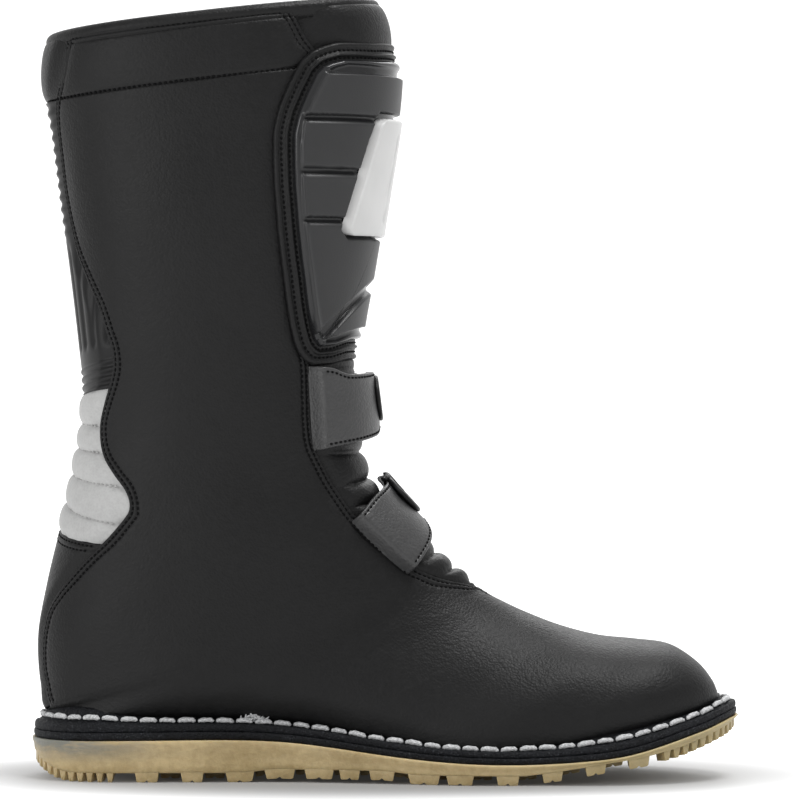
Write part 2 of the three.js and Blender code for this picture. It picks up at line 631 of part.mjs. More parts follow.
function buckleFrame (matrix) {
  const { width, plate, cheek, lift, front, back } = BUCKLE
  const half = width / 2
  const floor = toSolid(block([front, -half, lift], [back, half, lift + plate]))
  const slot = toSolid(block([PEG.at - 3.2, -4, lift - 1], [PEG.at + 5.2, 4, lift + plate + 1]))
  const cheeks = [-half, half - cheek].map(y =>
    toSolid(block([front, y, lift + plate - 0.2], [front + 14, y + cheek, PIN.height + 3])))
  const bore = toSolid(rod(PIN.radius + 0.4, width + 4, PIN.at, PIN.height))
  return join([floor.subtract(slot), ...cheeks]).subtract(bore).transform(Array.from(matrix.elements))
}

function buckleLever (matrix) {
  const half = BUCKLE.width / 2 - BUCKLE.cheek - 0.5
  const plate = toSolid(block([PIN.at - 2, -half, PIN.height - 1], [PIN.at + 34, half, PIN.height + 1.4]))
  const barrel = toSolid(rod(2.8, 2 * half, PIN.at, PIN.height))
  const bore = toSolid(rod(PIN.radius + 0.4, 2 * half + 4, PIN.at, PIN.height))
  const window = toSolid(block([PIN.at + 8, -4.5, PIN.height - 4], [PIN.at + 24, 4.5, PIN.height + 4]))
  return plate.add(barrel).subtract(bore).subtract(window).transform(Array.from(matrix.elements))
}

function buckleBase (matrix) {
  const plate = toSolid(block([10, -10, 1.6], [37, 10, 3]))
  const peg = toSolid(post(PEG.radius, 2.5, 8.4, PEG.at))
  return plate.add(peg).transform(Array.from(matrix.elements))
}

function addClosure (name, closure) {
  const matrix = pathFrame(closure, closure.end)
  addPart(`${name}_strap`, strap(closure), BLACK_LEATHER)
  addPart(`${name}_strap_disc`, disc(closure), BLACK_PLASTIC)
  addPart(`${name}_ladder`, ladder(closure), BLACK_PLASTIC)
  addPart(`${name}_buckle_frame`, buckleFrame(matrix), BLACK_PLASTIC)
  addPart(`${name}_buckle_pin`, moved(rod(PIN.radius, BUCKLE.width + 1, PIN.at, PIN.height), matrix), STEEL)
  addPart(`${name}_buckle_lever`, buckleLever(matrix), ALUMINIUM)
  addPart(`${name}_buckle_base`, buckleBase(matrix), STEEL)
  for (const [i, y] of [-6, 6].entries()) {
    addPart(`${name}_base_rivet_${i + 1}`, moved(post(2.4, 3.35, 4.6, 33, y, 12), matrix), STEEL)
  }
}

// ---------------------------------------------------------------- assembly

addPart('outsole', outsole(), GUM_RUBBER)
addPart('midsole', midsole(), BLACK_RUBBER)
addPart('welt', welt(), BLACK_RUBBER)
addPart('insole_board', insoleBoard(), FIBREBOARD)
addPart('shank', shank(), STEEL)
addPart('footbed', footbed(), TEXTILE)
addPart('foot_lining', footLining(), TEXTILE)
addPart('vamp', vamp(), BLACK_LEATHER)
addPart('medial_quarter', quarter(-1), BLACK_LEATHER)
addPart('lateral_quarter', quarter(1), BLACK_LEATHER)
addPart('heel_counter', heelCounter(), BLACK_LEATHER)
addPart('heel_stiffener', heelStiffener(), FIBREBOARD)
addPart('toe_puff', toePuff(), FIBREBOARD)
addPart('instep_bellows', instepBellows(), BLACK_LEATHER)
addPart('achilles_bellows', achillesBellows(), WHITE_LEATHER)

addPart('medial_shaft', sideShaft(-1), BLACK_LEATHER)
addPart('lateral_shaft', sideShaft(1), BLACK_LEATHER)
addPart('calf_plate', calfPlate(), BLACK_PLASTIC)
addPart('rear_collar_pad', rearCollarPad(), BLACK_LEATHER)
addPart('collar_foam', collarFoam(), TEXTILE)
addPart('shaft_lining', shaftLining(), TEXTILE)
addPart('tongue', tongue(), BLACK_LEATHER)
addPart('front_collar_pad', frontCollarPad(), BLACK_LEATHER)
addPart('loop_tape', loopTape(), TEXTILE)

addPart('flap_leather', flapLeather(), BLACK_LEATHER)
addPart('flap_binding', flapBinding(), BLACK_LEATHER)
addPart('shin_plate', shinPlate(), BLACK_PLASTIC)
addPart('shin_badge', shinBadge(), WHITE_PLASTIC)
addPart('hook_tape', hookTape(), TEXTILE)

for (const [name, closure] of Object.entries(CLOSURES)) addClosure(name, closure)

for (const mesh of boot.children) mesh.geometry.translate(CENTRING.x, CENTRING.y, 0)

export default boot
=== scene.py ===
"""Left motorcycle trials boot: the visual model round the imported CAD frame."""
import math

import bmesh
import bpy
import numpy as np
from mathutils import Matrix, Vector


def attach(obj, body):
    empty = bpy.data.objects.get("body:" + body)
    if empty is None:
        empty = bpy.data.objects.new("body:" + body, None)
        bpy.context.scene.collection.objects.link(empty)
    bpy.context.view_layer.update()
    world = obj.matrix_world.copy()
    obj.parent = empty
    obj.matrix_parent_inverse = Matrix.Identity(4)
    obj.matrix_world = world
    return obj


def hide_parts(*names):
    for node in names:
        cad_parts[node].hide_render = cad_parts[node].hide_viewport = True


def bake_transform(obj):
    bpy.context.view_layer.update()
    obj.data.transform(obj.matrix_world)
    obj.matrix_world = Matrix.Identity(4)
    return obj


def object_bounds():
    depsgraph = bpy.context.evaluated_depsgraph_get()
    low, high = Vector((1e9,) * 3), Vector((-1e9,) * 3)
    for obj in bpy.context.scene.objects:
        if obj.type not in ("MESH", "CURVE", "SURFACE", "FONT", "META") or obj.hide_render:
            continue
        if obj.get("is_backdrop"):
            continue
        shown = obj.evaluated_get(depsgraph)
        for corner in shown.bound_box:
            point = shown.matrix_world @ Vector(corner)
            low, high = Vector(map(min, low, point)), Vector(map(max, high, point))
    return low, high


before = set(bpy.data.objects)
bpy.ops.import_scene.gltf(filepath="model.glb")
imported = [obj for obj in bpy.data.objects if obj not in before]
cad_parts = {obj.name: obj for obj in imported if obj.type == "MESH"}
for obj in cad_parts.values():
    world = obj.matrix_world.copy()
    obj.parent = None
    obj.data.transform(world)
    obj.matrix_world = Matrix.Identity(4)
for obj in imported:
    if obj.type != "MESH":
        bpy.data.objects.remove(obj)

cad_low, cad_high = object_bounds()
rng = np.random.default_rng(7)
MM = 0.001
CENTRE = np.array([1.1, -2.79, 0.0])  # brings the modelling axes to the frame's origin

# ------------------------------------------------------------------ driving dimensions, millimetres

# Sections of the boot from the rim to the toe tip: front or top point (x, z), back or bottom point
# (x, z), half width on the inner and on the outer side.
SECTIONS = np.array([
    [-4, 338, -149, 322, 50, 50],
    [0, 318, -149.5, 300, 50, 50],
    [-0.5, 295, -146.3, 280, 50, 50],
    [-6, 258, -142.5, 250, 49, 49],
    [-11.5, 224, -138.5, 220, 47, 47],
    [-16.5, 195, -135, 190, 44.5, 44.5],
    [-16.5, 178, -133, 170, 42.5, 42.5],
    [-14.5, 160, -133.5, 153, 41, 41],
    [-12.5, 143, -136, 139, 40, 40],
    [-8, 129, -139.5, 122, 39.5, 39.5],
    [-1, 119, -144, 105, 39.5, 39.5],
    [8, 110, -149, 84, 39.5, 39.5],
    [18, 100.5, -152.8, 62, 39, 39],
    [27, 92.3, -151.8, 41, 38.5, 38.5],
    [35, 86, -147.5, 27.5, 38, 38],
    [43, 80.7, -118, 27, 37.5, 38.5],
    [52, 76, -80, 27, 37, 39],
    [63, 71, -40, 25, 38, 42],
    [77, 65.8, 0, 19, 40.5, 46.5],
    [93, 61.8, 40, 15, 45, 49.5],
    [109, 60.2, 75, 17.2, 43, 46.5],
    [124, 58, 105, 22.8, 39, 42],
    [136, 50.5, 128, 28.6, 29, 31],
    [142.6, 42.5, 140, 32.5, 17, 18],
    [144.8, 37, 145, 35.5, 4, 4],
])
LAST = len(SECTIONS) - 1
SOLE_SECTION = 14

# The feather edge, where the upper meets the welt: half widths along the foot.
FEATHER_X = [-118, -80, -40, 0, 40, 75]
FEATHER = {-1: [29, 28, 28, 35, 43, 41], 1: [29, 31, 36, 43, 47, 44.5]}
HEEL_RADIUS = 29.7
TOE_REACH = 70.5

# How the outline of a section runs, as (sections, values).
WIDEST_AT = ([0, 12, 14, 15, 16, 17, 18, 19, 20, 24], [.5, .47, .42, .36, .31, .28, .22, .17, .15, .15])
WIDEST_SHARE = ([0, 12, 14, 16, 18, 20, 24], [.5, .49, .45, .37, .3, .25, .25])
CENTRE_SHIFT = ([0, 17, 18, 19, 20, 21, 22, 23, 24], [0, 0, -1, -2, -3, -4.5, -6, -7, -7.5])
ROUNDNESS = ([0, 8, 12, 16, 20, 24], [2.35, 2.3, 2.2, 2.1, 2.1, 2.1])
SWELL = {
    -1: ([15, 16, 17, 18, 19, 20, 24], [1.293, 1.321, 1.357, 1.157, 1.047, 1.045, 1.045]),
    1: ([15, 16, 17, 18, 19, 20, 24], [1.328, 1.258, 1.167, 1.081, 1.053, 1.045, 1.045]),
}

# Sole: top of the outsole, tread line, thickness of the plies over it.
SOLE_X = [-156, -110, -48, 15, 55, 87, 107, 137, 156]
OUTSOLE_TOP = [17.5, 18, 17.6, 10.5, 8.8, 10.5, 13.5, 22.5, 28]
TREAD_X = [-156, -151, -145, -139, -138, -62, -50, 0, 12, 60, 75, 92, 111, 127, 138, 148, 156]
TREAD_Z = [9, 4.5, 1.4, 0, 0, 0, 1.5, 1.5, 0, 0, 2, 5, 8, 12, 16, 20, 25]
TREAD_DEPTH = 4
PLY_X = [-156, -60, 30, 156]
PLY = [3.2, 3.2, 2.5, 2.9]
PLY_GAP = 0.35
WELT_REACH = 7.6

LEATHER_THICKNESS = 1.9
STITCH_PITCH = 2.3
STITCH_ROWS = (1.7, 3.9)

# Side-view lines (x, z) of the seams.
REAR_SEAM = [
    (-137, 340), (-138, 324.6), (-139.7, 316.7), (-142.5, 302.7), (-144.2, 294.8), (-143.9, 283.7),
    (-142.6, 272.6), (-140.6, 256), (-138.2, 242.5), (-135, 229.5), (-131.6, 220.5), (-128.2, 212.5),
    (-124.8, 204.7), (-121.8, 195), (-119.4, 187.8), (-118.8, 180), (-120.1, 173.3), (-123, 163.5),
    (-124.8, 155.3), (-124.8, 147.7), (-123, 140.2), (-118.9, 133.4), (-114, 127), (-111.7, 121.7),
    (-112, 116.8), (-115.5, 112), (-120.3, 106.5), (-124.4, 102.4), (-131.2, 95.9), (-138.7, 87.6),
    (-144.6, 79.8), (-148.3, 72.7), (-150.6, 62.6), (-151, 49.2), (-149.3, 38.2), (-146, 30),
]
FRONT_SEAM = [
    (-46, 345), (-42.3, 333.5), (-34.7, 321.4), (-30, 314), (-33, 290), (-35, 240), (-34.5, 200),
    (-33.3, 179), (-32.9, 166.4), (-32.6, 156.2), (-31.2, 145.8), (-27, 136.2), (-20.9, 125.2),
    (-14, 115.6), (-5.8, 107), (2.4, 100), (10.7, 93.4), (17, 90), (27.5, 86.3), (36.7, 84),
    (43.5, 82.2),
]
FLAP_EDGE = [
    (-8, 319.7), (-22.6, 319.2), (-28.8, 317.2), (-33.3, 315), (-37.8, 310.5), (-42.2, 301.5),
    (-46.8, 290.5), (-49.1, 280.6), (-49.1, 269.7), (-48.7, 257.2), (-47.3, 239), (-45.9, 225.4),
    (-43.7, 207.3), (-41.4, 193.7), (-39.3, 186.5), (-36, 181.9), (-32.4, 180.1), (-26, 180.6),
    (-19.9, 182.6),
]
COLLAR_LINE = 1.25    # section of the stitch line round the collar
CALF_END = 6.16       # section where the calf plate ends and the white bellows starts
CALF_SLANT = 0.17     # by how much that edge is higher at the seams
COUNTER_START = (9.78, 10.25)  # section of the counter's top edge at the back and at the seam
QUILT_BACK = [6.88, 7.64, 8.38, 9.08]
QUILT_SIDE = [7.03, 7.87, 8.72, 9.75]

CLOSURES = {
    "upper": dict(s=6.75, slope=-1.9, end=0.42, peak=5.4, rise=5.2, body="shaft", latch="upper_latch"),
    "lower": dict(s=10.2, slope=6, end=0.38, peak=3.4, rise=4.3, body="foot", latch="lower_latch"),
}


# ------------------------------------------------------------------ the surface of the upper

def hermite(table, x, values=None):
    """Smooth curve through a table, flat at its ends."""
    xs, ys = (np.asarray(t, float) for t in (table if values is None else (table, values)))
    slope = np.zeros_like(ys)
    slope[1:-1] = (ys[2:] - ys[:-2]) / (xs[2:] - xs[:-2])
    x = np.clip(x, xs[0], xs[-1])
    i = np.clip(np.searchsorted(xs, x, side="right") - 1, 0, len(xs) - 2)
    h = xs[i + 1] - xs[i]
    t = (x - xs[i]) / h
    return ((2 * t**3 - 3 * t * t + 1) * ys[i] + (t**3 - 2 * t * t + t) * h * slope[i]
            + (3 * t * t - 2 * t**3) * ys[i + 1] + (t**3 - t * t) * h * slope[i + 1])


def smoothstep(low, high, x):
    t = np.clip((np.asarray(x, float) - low) / (high - low), 0, 1)
    return t * t * (3 - 2 * t)


def section_values(s):
    """Catmull-Rom curve through the rows of SECTIONS."""
    i = np.clip(np.floor(s).astype(int), 0, LAST - 1)
    t = (s - i)[..., None]
    a, b, c, d = (SECTIONS[np.clip(i + k, 0, LAST)] for k in (-1, 0, 1, 2))
    rows = 0.5 * (2 * b + (c - a) * t + (2 * a - 5 * b + 4 * c - d) * t**2 + (3 * b - a - 3 * c + d) * t**3)
    return np.moveaxis(rows, -1, 0)


def rounded_end(width, distance, reach):
    return width * np.sqrt(np.maximum(1 - (distance / reach) ** 2, 0))


def feather_half_width(x, side, grow=0.0):
    widths = FEATHER[side]
    middle = hermite(FEATHER_X, x, widths) + grow
    heel = rounded_end(widths[0] + grow, x - FEATHER_X[0], HEEL_RADIUS + grow)
    toe = rounded_end(widths[-1] + grow, x - FEATHER_X[-1], TOE_REACH + grow)
    return np.where(x < FEATHER_X[0], heel, np.where(x > FEATHER_X[-1], toe, middle))


def skin(s, p):
    """Point at section s and turn p: 0 at the front or top, -1 and 1 at the back or bottom by way of
    the inner and the outer side. Turns past 1 go on round the back of the leg."""
    s, p = np.broadcast_arrays(np.asarray(s, float), np.asarray(p, float))
    s = np.clip(s, 0, LAST)
    p = np.where(np.abs(p) > 1, (p + 1) % 2 - 1, p)
    inner = p < 0
    q = 1 - np.abs(p)
    fx, fz, bx, bz, width_in, width_out = section_values(s)
    edge = np.where(inner, feather_half_width(bx, -1), feather_half_width(bx, 1)) * (s > SOLE_SECTION)
    swell = np.where(inner, hermite(SWELL[-1], s), hermite(SWELL[1], s))
    width = np.where(s > SOLE_SECTION + 1, edge * swell, np.where(inner, width_in, width_out))
    width = np.maximum(width, 1e-3)
    widest, share, n = hermite(WIDEST_AT, s), hermite(WIDEST_SHARE, s), hermite(ROUNDNESS, s)
    u_front = np.sin(np.clip((q - share) / (1 - share), 0, 1) * np.pi / 2)
    out_front = np.maximum(1 - u_front**n, 0) ** (1 / n)
    t = np.clip((share - q) / share, 0, 1)
    is_open = np.minimum(edge / width * 1.2, 1)
    u_back = np.sin(t * np.pi / 2) * (1 - is_open) + t * is_open
    drop = 1 - np.minimum(edge / width, 1) ** n
    out_back = np.maximum(1 - drop * u_back**n, 0) ** (1 / n)
    front = q >= share
    along = np.where(front, widest + (1 - widest) * u_front, widest * (1 - u_back))
    out = width * np.where(front, out_front, out_back)
    y = hermite(CENTRE_SHIFT, s) + np.where(inner, -out, out)
    return np.stack([bx + (fx - bx) * along, y, bz + (fz - bz) * along], -1)


def unit(v):
    return v / np.maximum(np.linalg.norm(v, axis=-1, keepdims=True), 1e-9)


def skin_normal(s, p, step=0.02):
    s, p = np.broadcast_arrays(np.asarray(s, float), np.asarray(p, float))
    is_open = (s > SOLE_SECTION - 0.5) & (np.abs(p) <= 1)
    ahead = np.where(is_open, np.minimum(p + step, 1), p + step)
    behind = np.where(is_open, np.maximum(p - step, -1), p - step)
    up = skin(np.maximum(s - step, 0), p) - skin(np.minimum(s + step, LAST), p)
    return unit(np.cross(skin(s, ahead) - skin(s, behind), up))


def off_skin(s, p, offset):
    return skin(s, p) + skin_normal(s, p) * np.asarray(offset, float)[..., None]


def locate(x, z, side, lift=0.0):
    """Section and turn of a point given in the side view, on a surface lifted off the skin."""
    low, high = 0.0, float(LAST)
    for _ in range(40):
        s = (low + high) / 2
        fx, fz, bx, bz = section_values(np.array(s))[:4]
        if (fx - bx) * (z - bz) - (fz - bz) * (x - bx) > 0:
            high = s
        else:
            low = s
    fx, fz, bx, bz = section_values(np.array(s))[:4]
    turns = np.linspace(0, 1, 401) * side
    points = off_skin(s, turns, lift)
    along = ((points[:, 0] - bx) * (fx - bx) + (points[:, 2] - bz) * (fz - bz))
    target = (x - bx) * (fx - bx) + (z - bz) * (fz - bz)
    return s, float(np.interp(-target, -along, turns))


def seam_turn(line, side):
    """The turn of a seam as a function of the section."""
    spots = np.array([locate(x, z, side) for x, z in line])
    order = np.argsort(spots[:, 0])
    return lambda s: hermite((spots[order, 0], spots[order, 1]), s)


def resample(points, pitch, ring=False, weigh=None, count=None):
    """Places along a polyline, evenly spaced about one pitch apart. Its length is measured over the
    first few columns, all of them unless weigh says how many."""
    points = np.asarray(points, float)
    if ring:
        points = closed(points)
    steps = np.linalg.norm(np.diff(points[:, :weigh], axis=0), axis=1)
    length = np.concatenate([[0], np.cumsum(steps)])
    count = count or max(int(round(length[-1] / pitch)), 2)
    if ring:
        spots = np.linspace(0, length[-1], count + 1)[:-1]
    else:
        spots = np.linspace(pitch / 2, length[-1] - pitch / 2, count)
    return np.stack([np.interp(spots, length, points[:, k]) for k in range(points.shape[1])], -1)


# ------------------------------------------------------------------ mesh helpers

def metres(points):
    return (np.asarray(points, float) + CENTRE) * MM


def finish_mesh(bm, name, material, smooth=True):
    mesh = bpy.data.meshes.new(name)
    for face in bm.faces:
        face.smooth = smooth
    bm.to_mesh(mesh)
    bm.free()
    mesh.materials.append(material)
    piece = bpy.data.objects.new(name, mesh)
    bpy.context.scene.collection.objects.link(piece)
    return piece


def grid_mesh(points, wrap=False, flip=True):
    """A bmesh grid whose vertices stand at points[row, column], in millimetres."""
    rows, columns = points.shape[:2]
    bm = bmesh.new()
    bmesh.ops.create_grid(bm, x_segments=columns - 1, y_segments=rows - 1, size=1)
    for vertex, place in zip(bm.verts, metres(points).reshape(-1, 3)):
        vertex.co = place
    if wrap:
        bmesh.ops.remove_doubles(bm, verts=bm.verts, dist=2e-6)
    if flip:
        bmesh.ops.reverse_faces(bm, faces=bm.faces)
    return bm


def solidify(piece, thickness):
    """Give a sheet its thickness, inward from the face that was modelled."""
    wall = piece.modifiers.new("wall", "SOLIDIFY")
    wall.thickness = thickness * MM
    wall.offset = -1
    wall.use_even_offset = False
    return piece


def layered(name, points, material, thickness, wrap=False):
    """A sheet of material with its outer face at the points."""
    return solidify(finish_mesh(grid_mesh(points, wrap), name, material), thickness)


def valley(distance, at, depth, width):
    return -depth * np.exp(-((distance - at) / width) ** 2)


def edge_roll(distance, radius=0.8):
    """How far an edge of leather turns down at a distance from its cut."""
    t = np.clip(distance / radius, 0, 1)
    return -radius * (1 - np.sqrt(np.maximum(1 - (1 - t) ** 2, 0)))


def sewn_edge(distance, rows=STITCH_ROWS, depth=0.45):
    """A turned edge with its rows of stitches pulled in."""
    profile = edge_roll(distance)
    for row in rows:
        profile = profile + valley(distance, row, depth, 0.55)
    return profile + 0.25 * np.exp(-((distance - 0.5 * (rows[0] + rows[-1])) / 0.8) ** 2)


def settled(bm):
    """A fresh copy of a bmesh, with no gaps left in its lists by deleted items."""
    mesh = bpy.data.meshes.new("shape")
    bm.to_mesh(mesh)
    bm.free()
    fresh = bmesh.new()
    fresh.from_mesh(mesh)
    bpy.data.meshes.remove(mesh)
    return fresh


def item_corner(item):
    return item if isinstance(item, bmesh.types.BMVert) else item.verts[0]


def vertices_of(items):
    return [item for item in items if isinstance(item, bmesh.types.BMVert)]


def closed(loop):
    return np.vstack([loop, loop[:1]])


def repeated(name, template, places, material):
    """Copies of a small closed shape, joined in one mesh. places holds the millimetre positions of the
    shape's vertices, one row for each copy."""
    count, size = places.shape[:2]
    template = settled(template)
    while len(template.verts) < count * size:
        template.verts.index_update()
        room = count * size - len(template.verts)
        kept = [[item for item in items if item_corner(item).index < room]
                for items in (template.verts, template.edges, template.faces)]
        bmesh.ops.duplicate(template, geom=kept[0] + kept[1] + kept[2])
    piece = finish_mesh(template, name, material)
    piece.data.vertices.foreach_set("co", metres(places).ravel())
    piece.data.update()
    return piece


def vertex_array(bm):
    bm.verts.ensure_lookup_table()
    bm.verts.index_update()
    return np.array([vertex.co for vertex in bm.verts])


def thread_stitch(segments=8, rings=5):
    bm = bmesh.new()
    bmesh.ops.create_uvsphere(bm, u_segments=segments, v_segments=rings, radius=1)
    bmesh.ops.rotate(bm, verts=bm.verts, matrix=Matrix.Rotation(math.pi / 2, 3, "Y"))
    return bm


def placed(shape, along, across, spots, size=1.0):
    """The vertices of a shape at each spot, turned so that its own axes lie along and across."""
    axes = np.stack([along, across, np.cross(along, across)], 1)
    return np.einsum("vk,nkj->nvj", shape, axes) * size + spots[:, None]


def stitches(name, spots, along, out, material, length, radius):
    """Slim rounded stitches at the spots, lying along one direction with another one facing out."""
    template = thread_stitch()
    shape = vertex_array(template) * (length / 2, radius, radius)
    return repeated(name, template, placed(shape, along, unit(np.cross(out, along)), spots), material)


def sew(name, paths, material, pitch=STITCH_PITCH, length=1.6, radius=0.46, lift=0.0):
    """Stitches along paths of (section, turn, offset)."""
    spots, along, out = [], [], []
    for path in paths:
        path = np.asarray(path, float)
        line = off_skin(path[:, 0], path[:, 1], path[:, 2] + lift)
        normal = skin_normal(path[:, 0], path[:, 1])
        both = resample(np.hstack([line, normal]), pitch, weigh=3)
        spots.append(both[:, :3])
        along.append(unit(np.gradient(both[:, :3], axis=0)))
        out.append(unit(both[:, 3:]))
    return stitches(name, np.vstack(spots), np.vstack(along), np.vstack(out), material, length, radius)


# ------------------------------------------------------------------ materials

class Value:
    """A shader socket that takes part in arithmetic."""

    def __init__(self, graph, socket):
        self.graph, self.socket = graph, socket

    def _math(self, operation, first, second=None):
        inputs = {0: first} if second is None else {0: first, 1: second}
        return self.graph.node("ShaderNodeMath", {"operation": operation}, inputs)

    def __add__(self, other):
        return self._math("ADD", self, other)

    def __radd__(self, other):
        return self._math("ADD", other, self)

    def __sub__(self, other):
        return self._math("SUBTRACT", self, other)

    def __rsub__(self, other):
        return self._math("SUBTRACT", other, self)

    def __mul__(self, other):
        return self._math("MULTIPLY", self, other)

    def __rmul__(self, other):
        return self._math("MULTIPLY", other, self)

    def __pow__(self, other):
        return self._math("POWER", self, other)

    def wave(self):
        return self._math("SINE", self)

    def step(self, low, high):
        """0 below low, 1 above high, smooth between them."""
        limits = {0: self, 1: low, 2: high, 3: 0.0, 4: 1.0}
        return self.graph.node("ShaderNodeMapRange", {"interpolation_type": "SMOOTHSTEP"}, limits)


class Graph:
    """One material's nodes."""

    def __init__(self, name):
        self.material = bpy.data.materials.new(name)
        self.material.use_nodes = True
        self.tree = self.material.node_tree
        self.shader = self.tree.nodes["Principled BSDF"]
        self.place = self.node("ShaderNodeTexCoord", {}, {}, "Object")

    def node(self, kind, settings, inputs, output=0):
        node = self.tree.nodes.new(kind)
        for name, value in settings.items():
            setattr(node, name, value)
        for key, value in inputs.items():
            self.connect(node.inputs[key], value)
        return Value(self, node.outputs[output])

    def connect(self, socket, value):
        if isinstance(value, Value):
            self.tree.links.new(value.socket, socket)
        else:
            socket.default_value = value

    def stretched(self, scale):
        return self.node("ShaderNodeMapping", {}, {"Vector": self.place, "Scale": scale})

    def noise(self, scale, detail=3.0, roughness=0.5, at=None):
        return self.node("ShaderNodeTexNoise", {}, {
            "Vector": at or self.place, "Scale": scale, "Detail": detail, "Roughness": roughness})

    def cells(self, scale):
        return self.node("ShaderNodeTexVoronoi", {}, {"Vector": self.place, "Scale": scale}, "Distance")

    def mix(self, factor, first, second):
        """A blend of two colours. The first may be the outcome of another blend."""
        first = (*first, 1) if isinstance(first, tuple) else first
        return self.node("ShaderNodeMix", {"data_type": "RGBA"}, {0: factor, 6: first, 7: (*second, 1)}, 2)

    def axis(self, name):
        return self.node("ShaderNodeSeparateXYZ", {}, {0: self.place}, name)

    def bump(self, height, distance, strength=1.0, under=None):
        inputs = {"Height": height, "Distance": distance, "Strength": strength}
        if under:
            inputs["Normal"] = under
        return self.node("ShaderNodeBump", {}, inputs)

    def done(self, **sockets):
        for name, value in sockets.items():
            self.connect(self.shader.inputs[name.replace("_", " ")], value)
        return self.material


def leather(name, dark, light, roughness, grain=900.0, depth=0.00014, shine=0.22):
    """Full-grain leather: pebbled cells broken up by pores, with soft creases and worn patches."""
    g = Graph(name)
    warp = g.noise(240.0, 2.0)
    pebble = g.cells(grain) * 0.9 + g.cells(grain * 0.47) * 0.5
    pores = g.noise(grain * 2.4, 2.0)
    crease = g.noise(34.0, 4.0, 0.62)
    patch = g.noise(9.0, 3.0)
    relief = pebble + pores * 0.5 + warp * 0.12
    fine = g.bump(relief, depth)
    soft = g.bump(crease + patch * 2.0, 0.0006, 0.14, under=fine)
    tone = (patch * 0.6 + warp * 0.25 + pebble * 0.25).step(0.25, 0.95)
    return g.done(Base_Color=g.mix(tone, dark, light),
                  Roughness=roughness + (patch - 0.5) * 0.16 + (pebble - 0.5) * 0.12,
                  Normal=soft, Specular_IOR_Level=shine)


def moulded_plastic(name, dark, light, roughness, grain=1500.0, depth=0.00004, shine=0.35):
    g = Graph(name)
    texture = g.noise(grain, 2.0)
    cloud = g.noise(26.0, 3.0)
    rub = g.noise(120.0, 4.0, 0.7, at=g.stretched((1.0, 1.0, 0.25)))
    return g.done(Base_Color=g.mix(cloud.step(0.3, 0.75), dark, light),
                  Roughness=roughness + (cloud - 0.5) * 0.14 + (rub - 0.5) * 0.1,
                  Normal=g.bump(texture + rub * 0.4, depth), Specular_IOR_Level=shine)


def shin_plastic():
    """Moulded rubber-like plate: the raised blocks are matte, the rim and groove floors shine."""
    g = Graph("shin plate rubber")
    raised = g.node("ShaderNodeAttribute", {"attribute_name": "raised"}, {}, "Fac")
    texture = g.noise(1400.0, 2.0)
    cloud = g.noise(30.0, 3.0)
    shade = (cloud * 0.7 + raised * 0.3).step(0.2, 0.8)
    tone = g.mix(shade, (0.010, 0.0102, 0.011), (0.02, 0.0202, 0.021))
    return g.done(Base_Color=tone, Roughness=0.23 + raised * 0.24 + (cloud - 0.5) * 0.12,
                  Normal=g.bump(texture * raised + cloud * 0.5, 0.00006), Specular_IOR_Level=0.35)


def rubber_edge():
    """Buffed edge of the rubber plies: long scuffs and a bluish dust."""
    g = Graph("buffed rubber")
    scuff = g.noise(420.0, 5.0, 0.7, at=g.stretched((1.0, 1.0, 0.35)))
    pit = g.cells(900.0)
    cloud = g.noise(18.0, 3.0)
    tone = (scuff * 0.7 + cloud * 0.5).step(0.35, 0.85)
    chalk = g.noise(1300.0, 3.0, 0.8).step(0.56, 0.66) * cloud.step(0.35, 0.6)
    rubbed = g.mix(tone, (0.0022, 0.0024, 0.003), (0.0085, 0.0092, 0.0115))
    return g.done(Base_Color=g.mix(chalk * 0.5, rubbed, (0.09, 0.095, 0.105)),
                  Roughness=0.62 + (scuff - 0.5) * 0.3, Normal=g.bump(scuff * 1.2 + pit * 0.4, 0.0011),
                  Specular_IOR_Level=0.16)


def gum_rubber():
    """Natural gum: amber with milky clouds, greyer with dust towards its upper edge at the heel."""
    g = Graph("natural gum rubber")
    cloud = g.noise(22.0, 4.0, 0.6)
    speck = g.noise(260.0, 4.0, 0.7)
    smear = g.noise(60.0, 4.0, 0.7, at=g.stretched((0.35, 0.35, 1.6)))
    base = g.mix((cloud * 0.7 + speck * 0.5).step(0.35, 0.8), (0.33, 0.24, 0.105), (0.52, 0.40, 0.21))
    behind_heel = (0.0 - g.axis("X")).step(0.085, 0.14)
    # The gum's colour turns darker towards the front of the sole.
    in_front = g.axis("X").step(0.03, 0.13)
    dust = g.axis("Z").step(0.006, 0.017) * smear.step(0.3, 0.6) * (behind_heel + 0.12)
    darker_at_front = g.mix(in_front * 0.5, base, (0.29, 0.25, 0.125))
    tone = g.mix(dust, darker_at_front, (0.16, 0.16, 0.135))
    return g.done(Base_Color=tone, Roughness=0.46 + (speck - 0.5) * 0.25,
                  Normal=g.bump(speck + smear * 0.6, 0.0005), Subsurface_Weight=0.2,
                  Subsurface_Radius=(0.006, 0.004, 0.002), Subsurface_Scale=1.0)


def thread(name, dark, light, twist, shine=0.4):
    g = Graph(name)
    strand = g.noise(twist, 3.0, 0.6, at=g.stretched((1.0, 1.0, 2.2)))
    return g.done(Base_Color=g.mix(strand.step(0.3, 0.7), dark, light),
                  Roughness=0.62 + (strand - 0.5) * 0.2,
                  Normal=g.bump(strand, 0.0003), Specular_IOR_Level=shine)


def woven(name, dark, light, pitch):
    """A close weave: warp and weft as two crossing waves."""
    g = Graph(name)
    x, y, z = (g.axis(name) for name in "XYZ")
    frequency = 2 * math.pi / pitch
    weave = ((x + y) * frequency).wave() * (z * frequency).wave()
    cloud = g.noise(40.0, 3.0)
    return g.done(Base_Color=g.mix((weave * 0.3 + cloud).step(0.2, 0.9), dark, light),
                  Roughness=0.85 + (cloud - 0.5) * 0.1, Normal=g.bump(weave, 0.0002))


